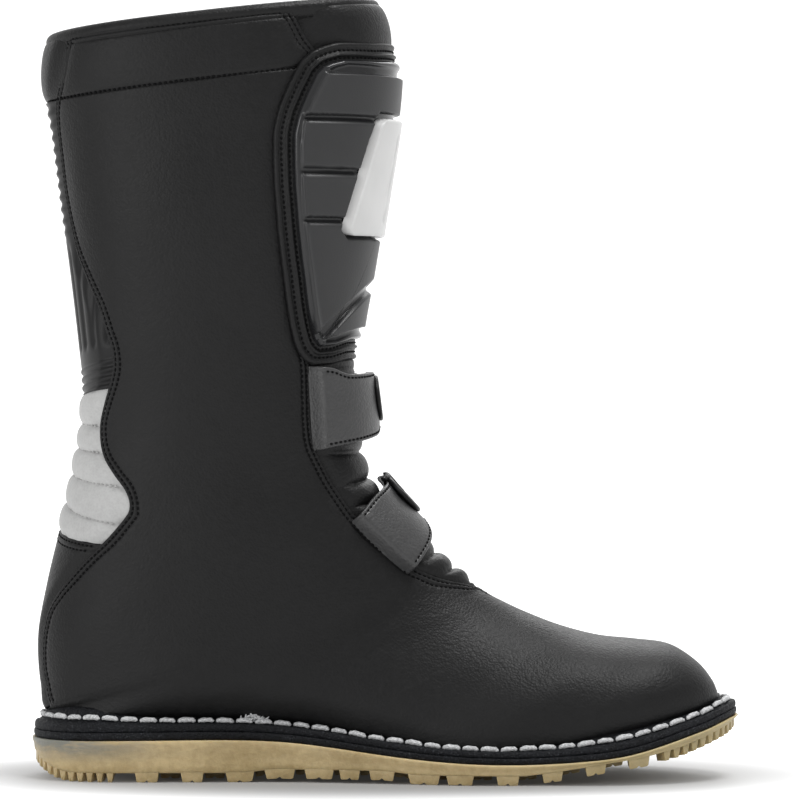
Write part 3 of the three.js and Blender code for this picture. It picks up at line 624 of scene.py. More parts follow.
def brushed_metal(name, dark, light, roughness, along=(0.2, 0.2, 6.0)):
    g = Graph(name)
    brush = g.noise(900.0, 4.0, 0.7, at=g.stretched(along))
    cloud = g.noise(60.0, 3.0)
    return g.done(Base_Color=g.mix(cloud.step(0.3, 0.7), dark, light), Metallic=1.0,
                  Roughness=roughness + (brush - 0.5) * 0.2, Normal=g.bump(brush, 0.00003))


def fibre_board():
    g = Graph("fibre board")
    fibre = g.noise(500.0, 5.0, 0.7, at=g.stretched((0.3, 1.0, 1.0)))
    return g.done(Base_Color=g.mix(fibre.step(0.3, 0.7), (0.3, 0.22, 0.13), (0.5, 0.4, 0.26)),
                  Roughness=0.85 + (fibre - 0.5) * 0.1, Normal=g.bump(fibre, 0.0002))


BLACK_LEATHER = leather("black leather", (0.0022, 0.0022, 0.0023), (0.0068, 0.0068, 0.007), 0.45)
# The straps are black leather too; their colour is several times lighter than the black leather's, a painted
# highlight.
PAINTED_HIGHLIGHT_STRAP_LEATHER = leather("strap leather with painted highlight", (0.021, 0.021, 0.0214), (0.036, 0.036, 0.0366), 0.42, shine=0.5)
WHITE_LEATHER = leather("white leather", (0.31, 0.31, 0.307), (0.41, 0.41, 0.406), 0.44, depth=0.00012)
BLACK_PLASTIC = moulded_plastic("moulded black plastic", (0.004, 0.004, 0.0042), (0.009, 0.009, 0.0094),
                                0.44, shine=0.22)
WHITE_PLASTIC = moulded_plastic("moulded white plastic", (0.44, 0.44, 0.437), (0.5, 0.5, 0.497), 0.32)
SHIN_RUBBER = shin_plastic()
RUBBER = rubber_edge()
GUM = gum_rubber()
BLACK_THREAD = thread("black thread", (0.0012, 0.0012, 0.0013), (0.005, 0.005, 0.0053), 1800.0, 0.08)
WHITE_THREAD = thread("white thread", (0.24, 0.24, 0.235), (0.4, 0.4, 0.395), 1800.0)
WELT_THREAD = thread("waxed welt thread", (0.26, 0.265, 0.27), (0.62, 0.625, 0.63), 1100.0)
LINING = woven("dark lining", (0.02, 0.02, 0.022), (0.06, 0.06, 0.065), 0.0016)
BOARD = fibre_board()
STEEL = brushed_metal("brushed steel", (0.5, 0.5, 0.51), (0.68, 0.68, 0.69), 0.3)
ALUMINIUM = brushed_metal("satin aluminium", (0.62, 0.62, 0.63), (0.75, 0.75, 0.76), 0.34)


# ------------------------------------------------------------------ the big leather upper

# Distances of the mesh lines from a seam, close together where the stitches pull the leather in.
EDGE_STEPS = np.array([0, 0.3, 0.7, 1.1, 1.45, 1.7, 1.95, 2.3, 2.8, 3.3, 3.65, 3.9, 4.15, 4.5, 5.2, 6.4,
                       8.2, 10.5])
RIM = 0.07             # section of the leather's top edge
SEAM_END = 15.9        # section where the front seam meets the ridge of the foot
COLLAR_SECTION = 20.5  # millimetres from one section to the next, at the collar
TONGUE_SECTION = 17.5  # the same on the tongue
HEEL_SECTION = 17      # the same at the heel


def turn_per_mm(s, p, other_s, other_p):
    """How much turn lies in one millimetre square to a seam that runs through these places."""
    around = skin(s, p + 0.004) - skin(s, p - 0.004)
    along = skin(other_s, other_p) - skin(s, p)
    slant = np.linalg.norm(np.cross(unit(around), unit(along)), axis=-1)
    return 0.008 / np.maximum(np.linalg.norm(around, axis=-1), 1e-3) / np.clip(slant, 0.5, 1)


def clustered_columns(s, left, right, count):
    """Turns from left to right for each row, close together at both edges. Returns the turns and the
    distances in millimetres from the left and the right edge."""
    most = 0.28  # of the panel's width, for the close lines at one edge
    ahead = np.append(s[1:], s[-1] + 0.01)
    scale_l = turn_per_mm(s, left, ahead, np.append(left[1:], left[-1]))
    scale_r = turn_per_mm(s, right, ahead, np.append(right[1:], right[-1]))
    span = right - left
    room_l = np.minimum(scale_l * EDGE_STEPS[-1], most * np.abs(span)) / EDGE_STEPS[-1]
    room_r = np.minimum(scale_r * EDGE_STEPS[-1], most * np.abs(span)) / EDGE_STEPS[-1]
    sign = np.sign(span)
    from_left = left[:, None] + sign[:, None] * room_l[:, None] * EDGE_STEPS
    from_right = right[:, None] - sign[:, None] * room_r[:, None] * EDGE_STEPS[::-1]
    t = np.linspace(0, 1, count + 2)[1:-1]
    middle = from_left[:, -1:] + (from_right[:, :1] - from_left[:, -1:]) * t
    turns = np.hstack([from_left, middle, from_right])
    distance_l = np.abs(turns - left[:, None]) / scale_l[:, None]
    distance_r = np.abs(turns - right[:, None]) / scale_r[:, None]
    return turns, distance_l, distance_r


def rows_with(lines, base):
    """Row positions: an even base with close rows about some lines of (place, spread)."""
    near = (-3, -2, -1.3, -0.7, -0.35, 0, 0.35, 0.7, 1.3, 2, 3)
    extra = [line + k * spread for line, spread in lines for k in near]
    rows = np.unique(np.round(np.concatenate([base, extra]), 5))
    rows = rows[(rows >= base[0]) & (rows <= base[-1])]
    keep = np.concatenate([[True], np.diff(rows) > 0.004])
    return rows[keep]


front_turn = {side: seam_turn(FRONT_SEAM, side) for side in (-1, 1)}
rear_turn = {side: seam_turn(REAR_SEAM, side) for side in (-1, 1)}


def front_edge(s, side):
    return np.where(s < SEAM_END, front_turn[side](s), 0.0) * (1 - smoothstep(SEAM_END - 0.6, SEAM_END, s))


def rear_edge(s, side):
    turn = rear_turn[side](s)
    return turn + (side - turn) * smoothstep(13.7, 13.98, s)


def undulation(points):
    """The slow swells that hand-lasted leather has, in millimetres."""
    x, y, z = (points[..., k] for k in range(3))
    return (0.28 * np.sin(x / 17 + z / 23 + 1.3) * np.sin(z / 19 - x / 41 + 0.4)
            + 0.16 * np.sin(x / 7.5 + 2 * np.sin(z / 31)) * np.sin(z / 11 + y / 13))


def upper_rows():
    leg, ankle, foot = np.linspace(RIM, 8, 90), np.linspace(8, 17, 100), np.linspace(17, 23.95, 60)
    base = np.concatenate([leg, ankle[1:], foot[1:]])
    return rows_with([(COLLAR_LINE, 0.03), (RIM + 0.08, 0.02), (RIM + 0.18, 0.02)], base)


def big_panel(side):
    s = upper_rows()
    turns, from_front, from_rear = clustered_columns(s, front_edge(s, side), rear_edge(s, side), 44)
    rows = np.repeat(s[:, None], turns.shape[1], 1)
    front_sewn = sewn_edge(from_front) * (1 - smoothstep(SEAM_END - 1.2, SEAM_END - 0.2, rows))
    rear_sewn = sewn_edge(from_rear) * (1 - smoothstep(13.5, 13.75, rows))
    from_rim = (rows - RIM) * COLLAR_SECTION
    collar = valley((rows - COLLAR_LINE) * COLLAR_SECTION, 0, 0.55, 0.7)
    pad = 1.1 * np.sin(np.clip((rows - RIM) / (COLLAR_LINE - RIM), 0, 1) * np.pi) ** 0.6
    pad = pad * smoothstep(1, 9, from_front) * smoothstep(1, 9, from_rear)
    offset = front_sewn + rear_sewn + sewn_edge(from_rim) * (rows < 1) + collar + pad
    base = skin(rows, turns)
    quiet = smoothstep(3, 14, from_front) * smoothstep(3, 14, from_rear)
    return off_skin(rows, turns, offset + undulation(base) * quiet)


def leather_upper():
    bm = grid_mesh(big_panel(-1)[:, ::-1])
    other = grid_mesh(big_panel(1))
    mesh = bpy.data.meshes.new("outer half")
    other.to_mesh(mesh)
    other.free()
    bm.from_mesh(mesh)
    bpy.data.meshes.remove(mesh)
    bmesh.ops.remove_doubles(bm, verts=bm.verts, dist=2e-5)
    piece = solidify(finish_mesh(bm, "leather_upper", BLACK_LEATHER), LEATHER_THICKNESS)
    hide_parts("vamp", "medial_quarter", "lateral_quarter", "medial_shaft", "lateral_shaft")
    return piece


def over_ankle(piece):
    """The piece is one sheet of leather over the ankle: its placement is baked into its mesh, and it is
    attached to no body.
    """
    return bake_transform(piece)


def along_edge(edge, side, s, distance, lift):
    """Path at a distance from a seam, as (section, turn, offset)."""
    turn = edge(s, side)
    ahead = np.append(s[1:], s[-1] + 0.01)
    scale = turn_per_mm(s, turn, ahead, np.append(turn[1:], edge(ahead[-1:], side)))
    sign = np.sign(rear_edge(s, side) - front_edge(s, side)) * (1 if edge is front_edge else -1)
    return np.stack([s, turn + sign * scale * distance, np.full_like(s, lift)], -1)


def across_panel(section, side, lift, measured=None):
    """Path round one side from seam to seam at one section."""
    place = np.array(section if measured is None else measured)
    turns = np.linspace(float(front_edge(place, side)), float(rear_edge(place, side)), 80)[3:-3]
    return np.stack([np.full_like(turns, section), turns, np.full_like(turns, lift)], -1)


def upper_stitches():
    paths = []
    for side in (-1, 1):
        for row in STITCH_ROWS:
            paths.append(along_edge(front_edge, side, np.linspace(RIM + 0.1, 15.2, 400), row, -0.42))
            paths.append(along_edge(rear_edge, side, np.linspace(RIM + 0.1, 13.6, 400), row, -0.42))
            paths.append(across_panel(RIM + row / COLLAR_SECTION, side, -0.42, measured=0.1))
        paths.append(across_panel(COLLAR_LINE, side, -0.4))
    piece = sew("upper_stitches", paths, BLACK_THREAD, lift=0.2)
    return over_ankle(piece)


# ------------------------------------------------------------------ pieces behind the rear seam

def behind(s_top, s_bottom, rows, count):
    """Places behind the rear seam, between two sections that may depend on the turn, as sections, turns
    and how far down each place lies, from 0 to 1."""
    s_mid = np.linspace(s_top(np.array(1.0)), s_bottom(np.array(1.0)), rows)
    tuck = 0.03
    left = rear_edge(s_mid, 1) - tuck
    right = 2 + rear_edge(s_mid, -1) + tuck
    turns = left[:, None] + (right - left)[:, None] * np.linspace(0, 1, count)
    down = np.linspace(0, 1, rows)[:, None]
    sections = s_top(turns) + (s_bottom(turns) - s_top(turns)) * down
    return sections, turns, np.broadcast_to(down, sections.shape)


def side_share(turn):
    """0 at the middle of the back, 1 at the seams of the white bellows."""
    return np.clip(np.abs(1 - turn) / 0.28, 0, 1)


def tucked(turns, sections, depth=2.2, reach=0.05):
    """The edges of a piece dive under the panels that are sewn over it."""
    left = turns - rear_edge(sections, 1)
    right = 2 + rear_edge(sections, -1) - turns
    inside = np.minimum(left, right)
    return -depth * (1 - smoothstep(-0.01, reach, inside))


def calf_bottom(turn):
    return CALF_END - CALF_SLANT * side_share(turn)


def counter_top(turn):
    return COUNTER_START[0] + (COUNTER_START[1] - COUNTER_START[0]) * side_share(turn)


def pillows(places, borders, squareness, fullness):
    """How far each place swells, 1 in the middle between two borders and 0 on them."""
    swell = np.zeros_like(places)
    for low, high in zip(borders, borders[1:]):
        t = np.clip((places - low) / (high - low), 0, 1)
        swell = np.maximum(swell, (1 - np.abs(2 * t - 1) ** squareness) ** fullness)
    return swell


def rows_between_seams(path, turns, margin):
    """The part of a path that lies between the two rear seams."""
    s = path[:, 0]
    keep = (turns > rear_edge(s, 1) + margin) & (turns < 2 + rear_edge(s, -1) - margin)
    return path[keep]


def achilles_bellows():
    top = lambda turn: calf_bottom(turn) - 0.05
    bottom = lambda turn: counter_top(turn) + 0.12
    sections, turns, _ = behind(top, bottom, 150, 90)
    share = side_share(turns)
    borders = [a + (b - a) * share for a, b in zip(QUILT_BACK, QUILT_SIDE)]
    swell = pillows(sections, [calf_bottom(turns), *borders, counter_top(turns)], 2.4, 0.75)
    wrinkle = 0.22 * np.sin(turns * 74 + sections * 9) * np.sin(turns * 31 + 2) * (1 - swell)
    height = (0.1 + 2.3 * swell) * (1 - 0.35 * share) + wrinkle
    points = off_skin(sections, turns, height + tucked(turns, sections))
    piece = layered("achilles_bellows_quilt", points, WHITE_LEATHER, 1.6)
    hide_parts("achilles_bellows")
    over_ankle(piece)
    paths = []
    t = np.linspace(0.72, 1.28, 120)
    for a, b in zip(QUILT_BACK, QUILT_SIDE):
        path = np.stack([a + (b - a) * side_share(t), t, np.full_like(t, 0.1)], -1)
        paths.append(rows_between_seams(path, t, 0.01))
    quilting = sew("bellows_quilting", paths, WHITE_THREAD, lift=0.1)
    over_ankle(quilting)


def calf_plate():
    """Moulded plate: cross ribs at the top, long upright channels below, ridges at its lower end."""
    top = lambda turn: np.full_like(turn, COLLAR_LINE + 0.02)
    sections, turns, _ = behind(top, calf_bottom, 260, 150)
    z = skin(sections, turns)[..., 2]
    across = np.abs(1 - turns)
    slanted = z - 25 * across
    ribs = np.sin((z - 294) * 2 * np.pi / 5.2) * smoothstep(232, 244, z) * smoothstep(0.24, 0.14, across)
    channels = sum(-np.exp(-(((across - place) / 0.011) ** 2)) for place in (0.07, 0.12, 0.17, 0.22))
    channels = channels * smoothstep(238, 226, z) * smoothstep(182, 187, slanted)
    ridges = np.sin((slanted - 165) * 2 * np.pi / 3.6) * smoothstep(179, 176, slanted)
    height = 0.5 + 0.42 * ribs + 0.9 * channels + 0.5 * ridges
    height = height + tucked(turns, sections, 2.4)
    piece = layered("calf_plate_moulding", off_skin(sections, turns, height), BLACK_PLASTIC, 1.8)
    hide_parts("calf_plate")
    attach(piece, "shaft")


def rear_collar_pad():
    top = lambda turn: np.full_like(turn, RIM - 0.02)
    bottom = lambda turn: np.full_like(turn, COLLAR_LINE)
    sections, turns, down = behind(top, bottom, 40, 60)
    crown = np.sin(np.clip(down, 0, 1) * np.pi) ** 0.45
    height = -0.6 + 2.9 * crown + tucked(turns, sections, 1.8)
    piece = layered("rear_collar_pad_leather", off_skin(sections, turns, height), BLACK_LEATHER, 1.6)
    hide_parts("rear_collar_pad")
    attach(piece, "shaft")


def heel_counter():
    bottom = lambda turn: np.full_like(turn, 13.95)
    sections, turns, _ = behind(counter_top, bottom, 120, 70)
    from_top = (sections - counter_top(turns)) * HEEL_SECTION
    height = 0.7 * smoothstep(0, 1.2, from_top) + sewn_edge(from_top) * 0.8 + tucked(turns, sections, 2.0)
    height = height - 0.5 * smoothstep(13.0, 13.9, sections)
    piece = layered("heel_counter_leather", off_skin(sections, turns, height), BLACK_LEATHER, 1.6)
    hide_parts("heel_counter")
    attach(piece, "foot")
    paths = []
    t = np.linspace(0.66, 1.34, 120)
    for row in STITCH_ROWS:
        path = np.stack([counter_top(t) + row / HEEL_SECTION, t, np.full_like(t, 0.35)], -1)
        paths.append(rows_between_seams(path, t, 0.015))
    seam = sew("counter_stitches", paths, BLACK_THREAD, lift=0.1)
    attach(seam, "foot")


# ------------------------------------------------------------------ rim and lining

def level_ring(turns, section, offset):
    return off_skin(np.full_like(turns, section), turns, np.full_like(turns, offset))


def rim_lining():
    """The lining comes over the rim as a soft roll, then runs down inside the leg."""
    turns = np.linspace(-1, 1, 181)
    profile = [(0.30, -1.7), (0.16, -1.2), (0.09, -0.7)]
    roll = [(math.sin(a), math.cos(a)) for a in np.linspace(-0.2, math.pi + 0.2, 15)]
    rings = [level_ring(turns, s, offset) for s, offset in profile]
    centre = level_ring(turns, 0, -3.1)
    out = skin_normal(np.zeros_like(turns), turns)
    up = np.array([0, 0, 1.0])
    rings += [centre + out * 2.7 * c + up * (-0.4 + 2.5 * s) for s, c in roll]
    rings += [level_ring(turns, s, -6.2) for s in (0.12, 0.4, 0.9)]
    edging = layered("collar_top_leather", np.stack(rings), BLACK_LEATHER, 1.0, wrap=True)
    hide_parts("collar_foam")
    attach(edging, "shaft")
    rings = [level_ring(turns, s, -6.6) for s in np.linspace(0.7, 8, 50)]
    piece = layered("leg_lining", np.stack(rings), LINING, 1.2, wrap=True)
    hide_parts("shaft_lining")
    over_ankle(piece)


def between_front_seams(s, tuck, count):
    """Places from one front seam to the other, reaching a little under both panels, as sections, turns
    and how far inside the seams each place is."""
    left, right = front_edge(s, -1) - tuck, front_edge(s, 1) + tuck
    turns = left[:, None] + (right - left)[:, None] * np.linspace(0, 1, count)
    rows = np.repeat(s[:, None], count, 1)
    return rows, turns, np.minimum(turns - front_edge(rows, -1), front_edge(rows, 1) - turns)


def front_collar_pad():
    s = np.linspace(0.03, 1.12, 40)
    rows, turns, inside = between_front_seams(s, 0.03, 70)
    down = (rows - s[0]) / (s[-1] - s[0])
    crown = np.sin(np.pi * (0.08 + 0.86 * down)) ** 0.5
    height = -1.4 + 4.4 * crown * smoothstep(0.0, 0.14, inside)
    height = height - 1.4 * (1 - smoothstep(-0.02, 0.05, inside))
    piece = layered("front_collar_pad_leather", off_skin(rows, turns, height), BLACK_LEATHER, 1.6)
    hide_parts("front_collar_pad")
    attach(piece, "shaft")


def tongue():
    rows, turns = np.meshgrid(np.linspace(1.0, 7.15, 110), np.linspace(-0.4, 0.4, 80), indexing="ij")
    mound = smoothstep(0.34, 0.18, np.abs(turns))
    stitch = valley((rows - 5.95) * TONGUE_SECTION, 0, 0.5, 0.7)
    stitch = stitch + valley((rows - 5.6) * TONGUE_SECTION, 0, 0.3, 0.7)
    ridge = smoothstep(0.3, 0.05, np.abs(turns)) * smoothstep(5.56, 5.76, rows)
    height = -2.9 + 2.7 * mound + stitch * mound + 2.4 * ridge
    piece = layered("tongue_leather", off_skin(rows, turns, height), BLACK_LEATHER, 1.6)
    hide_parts("tongue")
    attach(piece, "shaft")


INSTEP_FOLDS = [7.35, 8.05, 8.85, 9.7, 10.55, 11.4, 12.3, 13.2, 14.2, 15.2, 16.2]


def instep_bellows():
    rows, turns, inside = between_front_seams(np.linspace(7.3, 16.2, 220), 0.035, 80)
    drop = np.abs(turns) * 1.15
    swell = pillows(rows - drop * smoothstep(8.0, 9.0, rows), INSTEP_FOLDS, 2.2, 0.7)
    fade = 1 - 0.8 * smoothstep(13.6, 15.6, rows)
    height = (-0.6 + 3.0 * swell * fade) * smoothstep(-0.01, 0.1, inside)
    height = height - 2.4 * (1 - smoothstep(-0.02, 0.04, inside))
    piece = layered("instep_bellows_leather", off_skin(rows, turns, height), BLACK_LEATHER, 1.4)
    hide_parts("instep_bellows")
    over_ankle(piece)


# ------------------------------------------------------------------ shin flap

LOOP_SCALE = np.array([20.0, 190.0])  # about how many millimetres a section and a turn measure


def loop_places(line, count):
    """A closed loop of (section, turn) through a side-view outline and its mirror image."""
    inner = np.array([locate(x, z, -1) for x, z in line])
    loop = np.vstack([inner, inner[::-1] * (1, -1)]) * LOOP_SCALE
    loop = resample(loop, 1.0, ring=True)
    for _ in range(2):
        loop = (np.roll(loop, 1, 0) + 2 * loop + np.roll(loop, -1, 0)) / 4
    return resample(loop, 1.0, ring=True, count=count) / LOOP_SCALE


def inset_loop(loop, distance):
    """The loop moved inward over the surface by a distance in millimetres."""
    s, p = loop[:, 0], loop[:, 1]
    here = skin(s, p)
    tangent = unit(np.roll(here, -1, 0) - np.roll(here, 1, 0))
    inward = np.cross(skin_normal(s, p), tangent)
    ds = (skin(s + 0.01, p) - skin(s - 0.01, p)) / 0.02
    dp = (skin(s, p + 0.004) - skin(s, p - 0.004)) / 0.008
    a, b, c = (ds * ds).sum(-1), (ds * dp).sum(-1), (dp * dp).sum(-1)
    e, f = (ds * inward).sum(-1), (dp * inward).sum(-1)
    determinant = a * c - b * b
    step = np.stack([(e * c - f * b) / determinant, (f * a - e * b) / determinant], -1)
    centre = loop.mean(0)
    sign = np.sign(((centre - loop) * step).sum(-1).mean())
    return loop + step * distance * sign


def tape_rise(turn):
    return 2.3 * smoothstep(0.14, 0.22, turn)


flap_loop = loop_places(FLAP_EDGE, 420)
# The flap's turned edge, as (distance from the cut, height over the skin).
BINDING = [
    (0.9, 0.5), (0.25, 0.7), (0.0, 1.4), (0.15, 2.4), (0.6, 3.1), (1.3, 3.45), (2.0, 3.2), (2.5, 2.75),
    (2.8, 2.6), (3.1, 2.55), (3.5, 2.35), (3.9, 2.6), (4.4, 2.8), (4.8, 2.95), (5.1, 3.5), (5.6, 3.9),
    (6.1, 3.6), (6.4, 3.05), (6.8, 2.8), (7.2, 2.55), (7.6, 2.8), (8.1, 2.85), (9.0, 2.6),
]


def ring_piece(name, profile, material):
    """A closed ring round the flap, from a profile of (distance from the cut, height)."""
    rings = []
    for distance, offset in profile:
        loop = closed(inset_loop(flap_loop, distance))
        rings.append(off_skin(loop[:, 0], loop[:, 1], offset + tape_rise(loop[:, 1])))
    bm = grid_mesh(np.stack(rings), wrap=True)
    bmesh.ops.recalc_face_normals(bm, faces=bm.faces)
    return finish_mesh(bm, name, material)


def flap_ride(piece):
    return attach(piece, "shin_flap")


def shin_flap_leather():
    """Binding and leather: a rolled edge, a stitched fold and a piping round the shin plate."""
    profile = BINDING + [(12.0, 2.5), (12.5, 0.9), (9.0, 0.6), (4.0, 0.5), (0.9, 0.5)]
    piece = ring_piece("flap_binding_leather", profile, BLACK_LEATHER)
    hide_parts("flap_binding")
    flap_ride(piece)
    paths = []
    for distance, offset in ((3.5, 2.45), (7.2, 2.65)):
        loop = closed(inset_loop(flap_loop, distance))
        paths.append(np.column_stack([loop, offset + tape_rise(loop[:, 1])]))
    flap_ride(sew("flap_stitches", paths, BLACK_THREAD, lift=0.1))


def polygon_distance(points, polygon):
    """Signed distance from points to a polygon in the plane, positive inside."""
    polygon = np.asarray(polygon, float)
    best = np.full(points.shape[:-1], np.inf)
    inside = np.zeros(points.shape[:-1], bool)
    for a, b in zip(polygon, np.roll(polygon, -1, 0)):
        edge = b - a
        t = np.clip(((points - a) @ edge) / (edge @ edge), 0, 1)
        best = np.minimum(best, np.linalg.norm(points - a - t[..., None] * edge, axis=-1))
        crosses = (a[1] > points[..., 1]) != (b[1] > points[..., 1])
        level = a[0] + (points[..., 1] - a[1]) / np.where(abs(edge[1]) < 1e-9, 1e-9, edge[1]) * edge[0]
        inside ^= crosses & (points[..., 0] < level)
    return np.where(inside, best, -best)


BLOCKS = [
    (30, 306), (-26, 305.8), (-34.8, 288.3), (-36.3, 275), (-36, 255), (-34.5, 232), (-31.2, 203),
    (-30.2, 194), (-5.6, 218.4), (30, 240),
]
TOE_BLOCK = [(-26.6, 191.5), (-5.6, 214.5), (30, 237), (30, 197.5), (-11, 196.8)]
GROOVES = [(285.5, 288), (262.6, 265.2), (241.8, 244)]
BADGE_POCKET = [(30, 289.8), (-3, 289.8), (-7.4, 278), (-19.4, 238.8), (-17, 235.2), (30, 235.5)]
PLATE_INSET = 8.3
PLATE_LIFT = 6.0                    # height over the skin at which the outlines above are given
FLAP_MIDDLE = np.array([2.9, 0.0])  # section and turn


def shin_plate():
    """The plate's rings run from its rim to its middle; the blocks are raised by their outlines."""
    loop = closed(inset_loop(loop_places(FLAP_EDGE, 640), PLATE_INSET))
    reach = np.linalg.norm((loop - FLAP_MIDDLE) * LOOP_SCALE, axis=1)
    share = np.concatenate([np.linspace(0, 0.08, 12), np.linspace(0.08, 1, 128)[1:]])[:, None]
    rings = FLAP_MIDDLE + (loop - FLAP_MIDDLE) * (1 - share[..., None])
    sections, turns = rings[..., 0], rings[..., 1]
    flat = off_skin(sections, turns, PLATE_LIFT)[..., (0, 2)]
    from_edge = share * reach
    blocks = polygon_distance(flat, BLOCKS)
    for low, high in GROOVES:
        blocks = np.minimum(blocks, np.maximum((low - flat[..., 1]) * 0.4, flat[..., 1] - high))
    solid = np.maximum(blocks, polygon_distance(flat, TOE_BLOCK))
    solid = np.minimum(solid, -polygon_distance(flat, BADGE_POCKET))
    raised = smoothstep(-0.5, 0.6, solid)
    rim = np.exp(-(((from_edge - 2.0) / 1.5) ** 2))
    height = 4.0 + 1.3 * rim + 2.7 * raised + 1.8 * edge_roll(from_edge, 1.2)
    bm = grid_mesh(off_skin(sections, turns, height + tape_rise(turns)), flip=False)
    layer = bm.verts.layers.float.new("raised")
    bm.verts.ensure_lookup_table()
    for vertex, value in zip(bm.verts, raised.ravel()):
        vertex[layer] = value
    bmesh.ops.remove_doubles(bm, verts=bm.verts, dist=2e-6)
    bmesh.ops.recalc_face_normals(bm, faces=bm.faces)
    piece = finish_mesh(bm, "shin_plate_moulding", SHIN_RUBBER)
    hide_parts("shin_plate")
    flap_ride(piece)


BACKING = (2.2, 0.6)  # heights of the two faces of the flap's leather over the skin


def flap_backing():
    """The leather behind the plate, let into the turned edge."""
    loop = closed(inset_loop(flap_loop, 7.0))
    share = np.linspace(0, 1, 50)[:, None, None]
    outward = FLAP_MIDDLE + (loop - FLAP_MIDDLE) * share
    faces = [off_skin(rings[..., 0], rings[..., 1], height + tape_rise(rings[..., 1]))
             for rings, height in ((outward, BACKING[0]), (outward[::-1], BACKING[1]))]
    bm = grid_mesh(np.concatenate(faces), wrap=True)
    bmesh.ops.recalc_face_normals(bm, faces=bm.faces)
    piece = finish_mesh(bm, "flap_backing_leather", BLACK_LEATHER)
    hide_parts("flap_leather")
    flap_ride(piece)


TAPE_CORNERS = [(-30, 292), (-47, 292), (-30, 205), (-44.5, 205)]  # front and back, at the top and below


def closing_tape(name, node, height, thickness, body):
    front_top, back_top, front_low, back_low = (np.array(locate(x, z, 1)) for x, z in TAPE_CORNERS)
    down = np.linspace(0, 1, 60)[:, None, None]
    back = np.linspace(0, 1, 16)[None, :, None]
    places = (front_top + (back_top - front_top) * back) * (1 - down)
    places = places + (front_low + (back_low - front_low) * back) * down
    points = off_skin(places[..., 0], places[..., 1], np.full(places.shape[:2], height))
    piece = layered(name, points, LINING, thickness)
    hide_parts(node)
    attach(piece, body)


def foot_lining():
    rows, turns = np.meshgrid(np.linspace(8.3, 21, 90), np.linspace(-1, 1, 121), indexing="ij")
    piece = layered("foot_lining_textile", off_skin(rows, turns, np.full_like(rows, -4.6)), LINING, 1.0)
    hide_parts("foot_lining")
    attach(piece, "foot")


BADGE_TOP, BADGE_BOTTOM = (-2.0, 288.3), (-17.2, 237.3)  # its back corners in the side view
BADGE_LIFT = 7.5                                         # their height over the skin
BADGE_LENGTH = 52.0
BADGE_CORNER = 4.6


def shin_badge():
    """A plain white plaque with rounded corners and three slanted recess lines."""
    (s0, p0), (s1, p1) = locate(*BADGE_TOP, -1, BADGE_LIFT), locate(*BADGE_BOTTOM, -1, BADGE_LIFT)
    margin = np.array([0, 0.12, 0.35, 0.7, 1.2, 1.9, 2.8, 3.7, BADGE_CORNER])
    down = np.linspace(5.4, BADGE_LENGTH - 5.4, 56)
    down = np.concatenate([margin, down, BADGE_LENGTH - margin[::-1]])
    v = down / BADGE_LENGTH
    sections = s0 + (s1 - s0) * v
    half = np.abs(p0 + (p1 - p0) * v)
    around = skin(sections, half + 0.005) - skin(sections, half - 0.005)
    mm_turn = 0.01 / np.linalg.norm(around, axis=1)
    end = np.minimum(down, BADGE_LENGTH - down)
    pulled = BADGE_CORNER - np.sqrt(BADGE_CORNER**2 - np.maximum(BADGE_CORNER - end, 0) ** 2)
    half = half - pulled * mm_turn
    width = half / mm_turn
    across = np.concatenate([margin, np.linspace(5.4, 16, 12)])
    left = across[None, :] * np.minimum(1, width[:, None] / 17)
    middle = np.linspace(0, 1, 22)[1:-1]
    inner = width[:, None] * 2 - 2 * left[:, -1:]
    distance = np.hstack([left, left[:, -1:] + inner * middle, 2 * width[:, None] - left[:, ::-1]])
    turns = -half[:, None] + distance * mm_turn[:, None]
    rows = np.repeat(sections[:, None], turns.shape[1], 1)
    border = np.minimum(np.minimum(distance, 2 * width[:, None] - distance), end[:, None])
    height = 8.2 + 1.4 * edge_roll(border, 1.0)
    for share in (0.34, 0.5, 0.66):
        line = distance - 2 * width[:, None] * share
        height = height + valley(line, 0, 0.8, 0.6) * smoothstep(5, 8, end)[:, None]
    face = off_skin(rows, turns, height)
    bm = grid_mesh(face)
    edges = [edge for edge in bm.edges if edge.is_boundary]
    drop = vertices_of(bmesh.ops.extrude_edge_only(bm, edges=edges)["geom"])
    centre_normal = Vector(skin_normal(np.array((s0 + s1) / 2), np.array(0.0)))
    bmesh.ops.translate(bm, verts=drop, vec=-centre_normal * 3.2 * MM)
    bmesh.ops.recalc_face_normals(bm, faces=bm.faces)
    piece = finish_mesh(bm, "shin_badge_plaque", WHITE_PLASTIC)
    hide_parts("shin_badge")
    flap_ride(piece)


# ------------------------------------------------------------------ straps, discs and buckles

STRAP_LINES = {
    "upper": dict(top=[(-37.5, 180.2), (-28.5, 179.6), (-22.2, 176.4), (-9.9, 177.2)],
                  bottom=[(-35.5, 142), (-26.5, 144.6), (-14, 148.4), (-4.7, 151.2)]),
    "lower": dict(top=[(-17.5, 109.5), (-9.5, 120.5), (-5.2, 125.8), (-2.1, 128.8)],
                  bottom=[(7.5, 87), (12.2, 93.5), (15.2, 101.5), (17.4, 106.5)]),
}
STRAP_END = 0.065    # turn of the strap's free end, just past the ridge
STRAP_LENGTH = 46.0


def stand_off(peak, turn):
    return peak * np.cos(np.minimum(np.abs(turn) / 0.36, 1) * np.pi / 2) ** 2


def strap_border(line, count):
    """Places along a strap's edge from its seam to just past the ridge."""
    spots = np.array([locate(x, z, -1) for x, z in line])
    spots = np.vstack([spots, (spots[-1, 0], STRAP_END)])
    u = np.linspace(0, 1, len(spots))
    dense = np.stack([hermite((u, spots[:, k]), np.linspace(0, 1, 60)) for k in (0, 1)], -1)
    return resample(dense * LOOP_SCALE, 1.0, count=count) / LOOP_SCALE


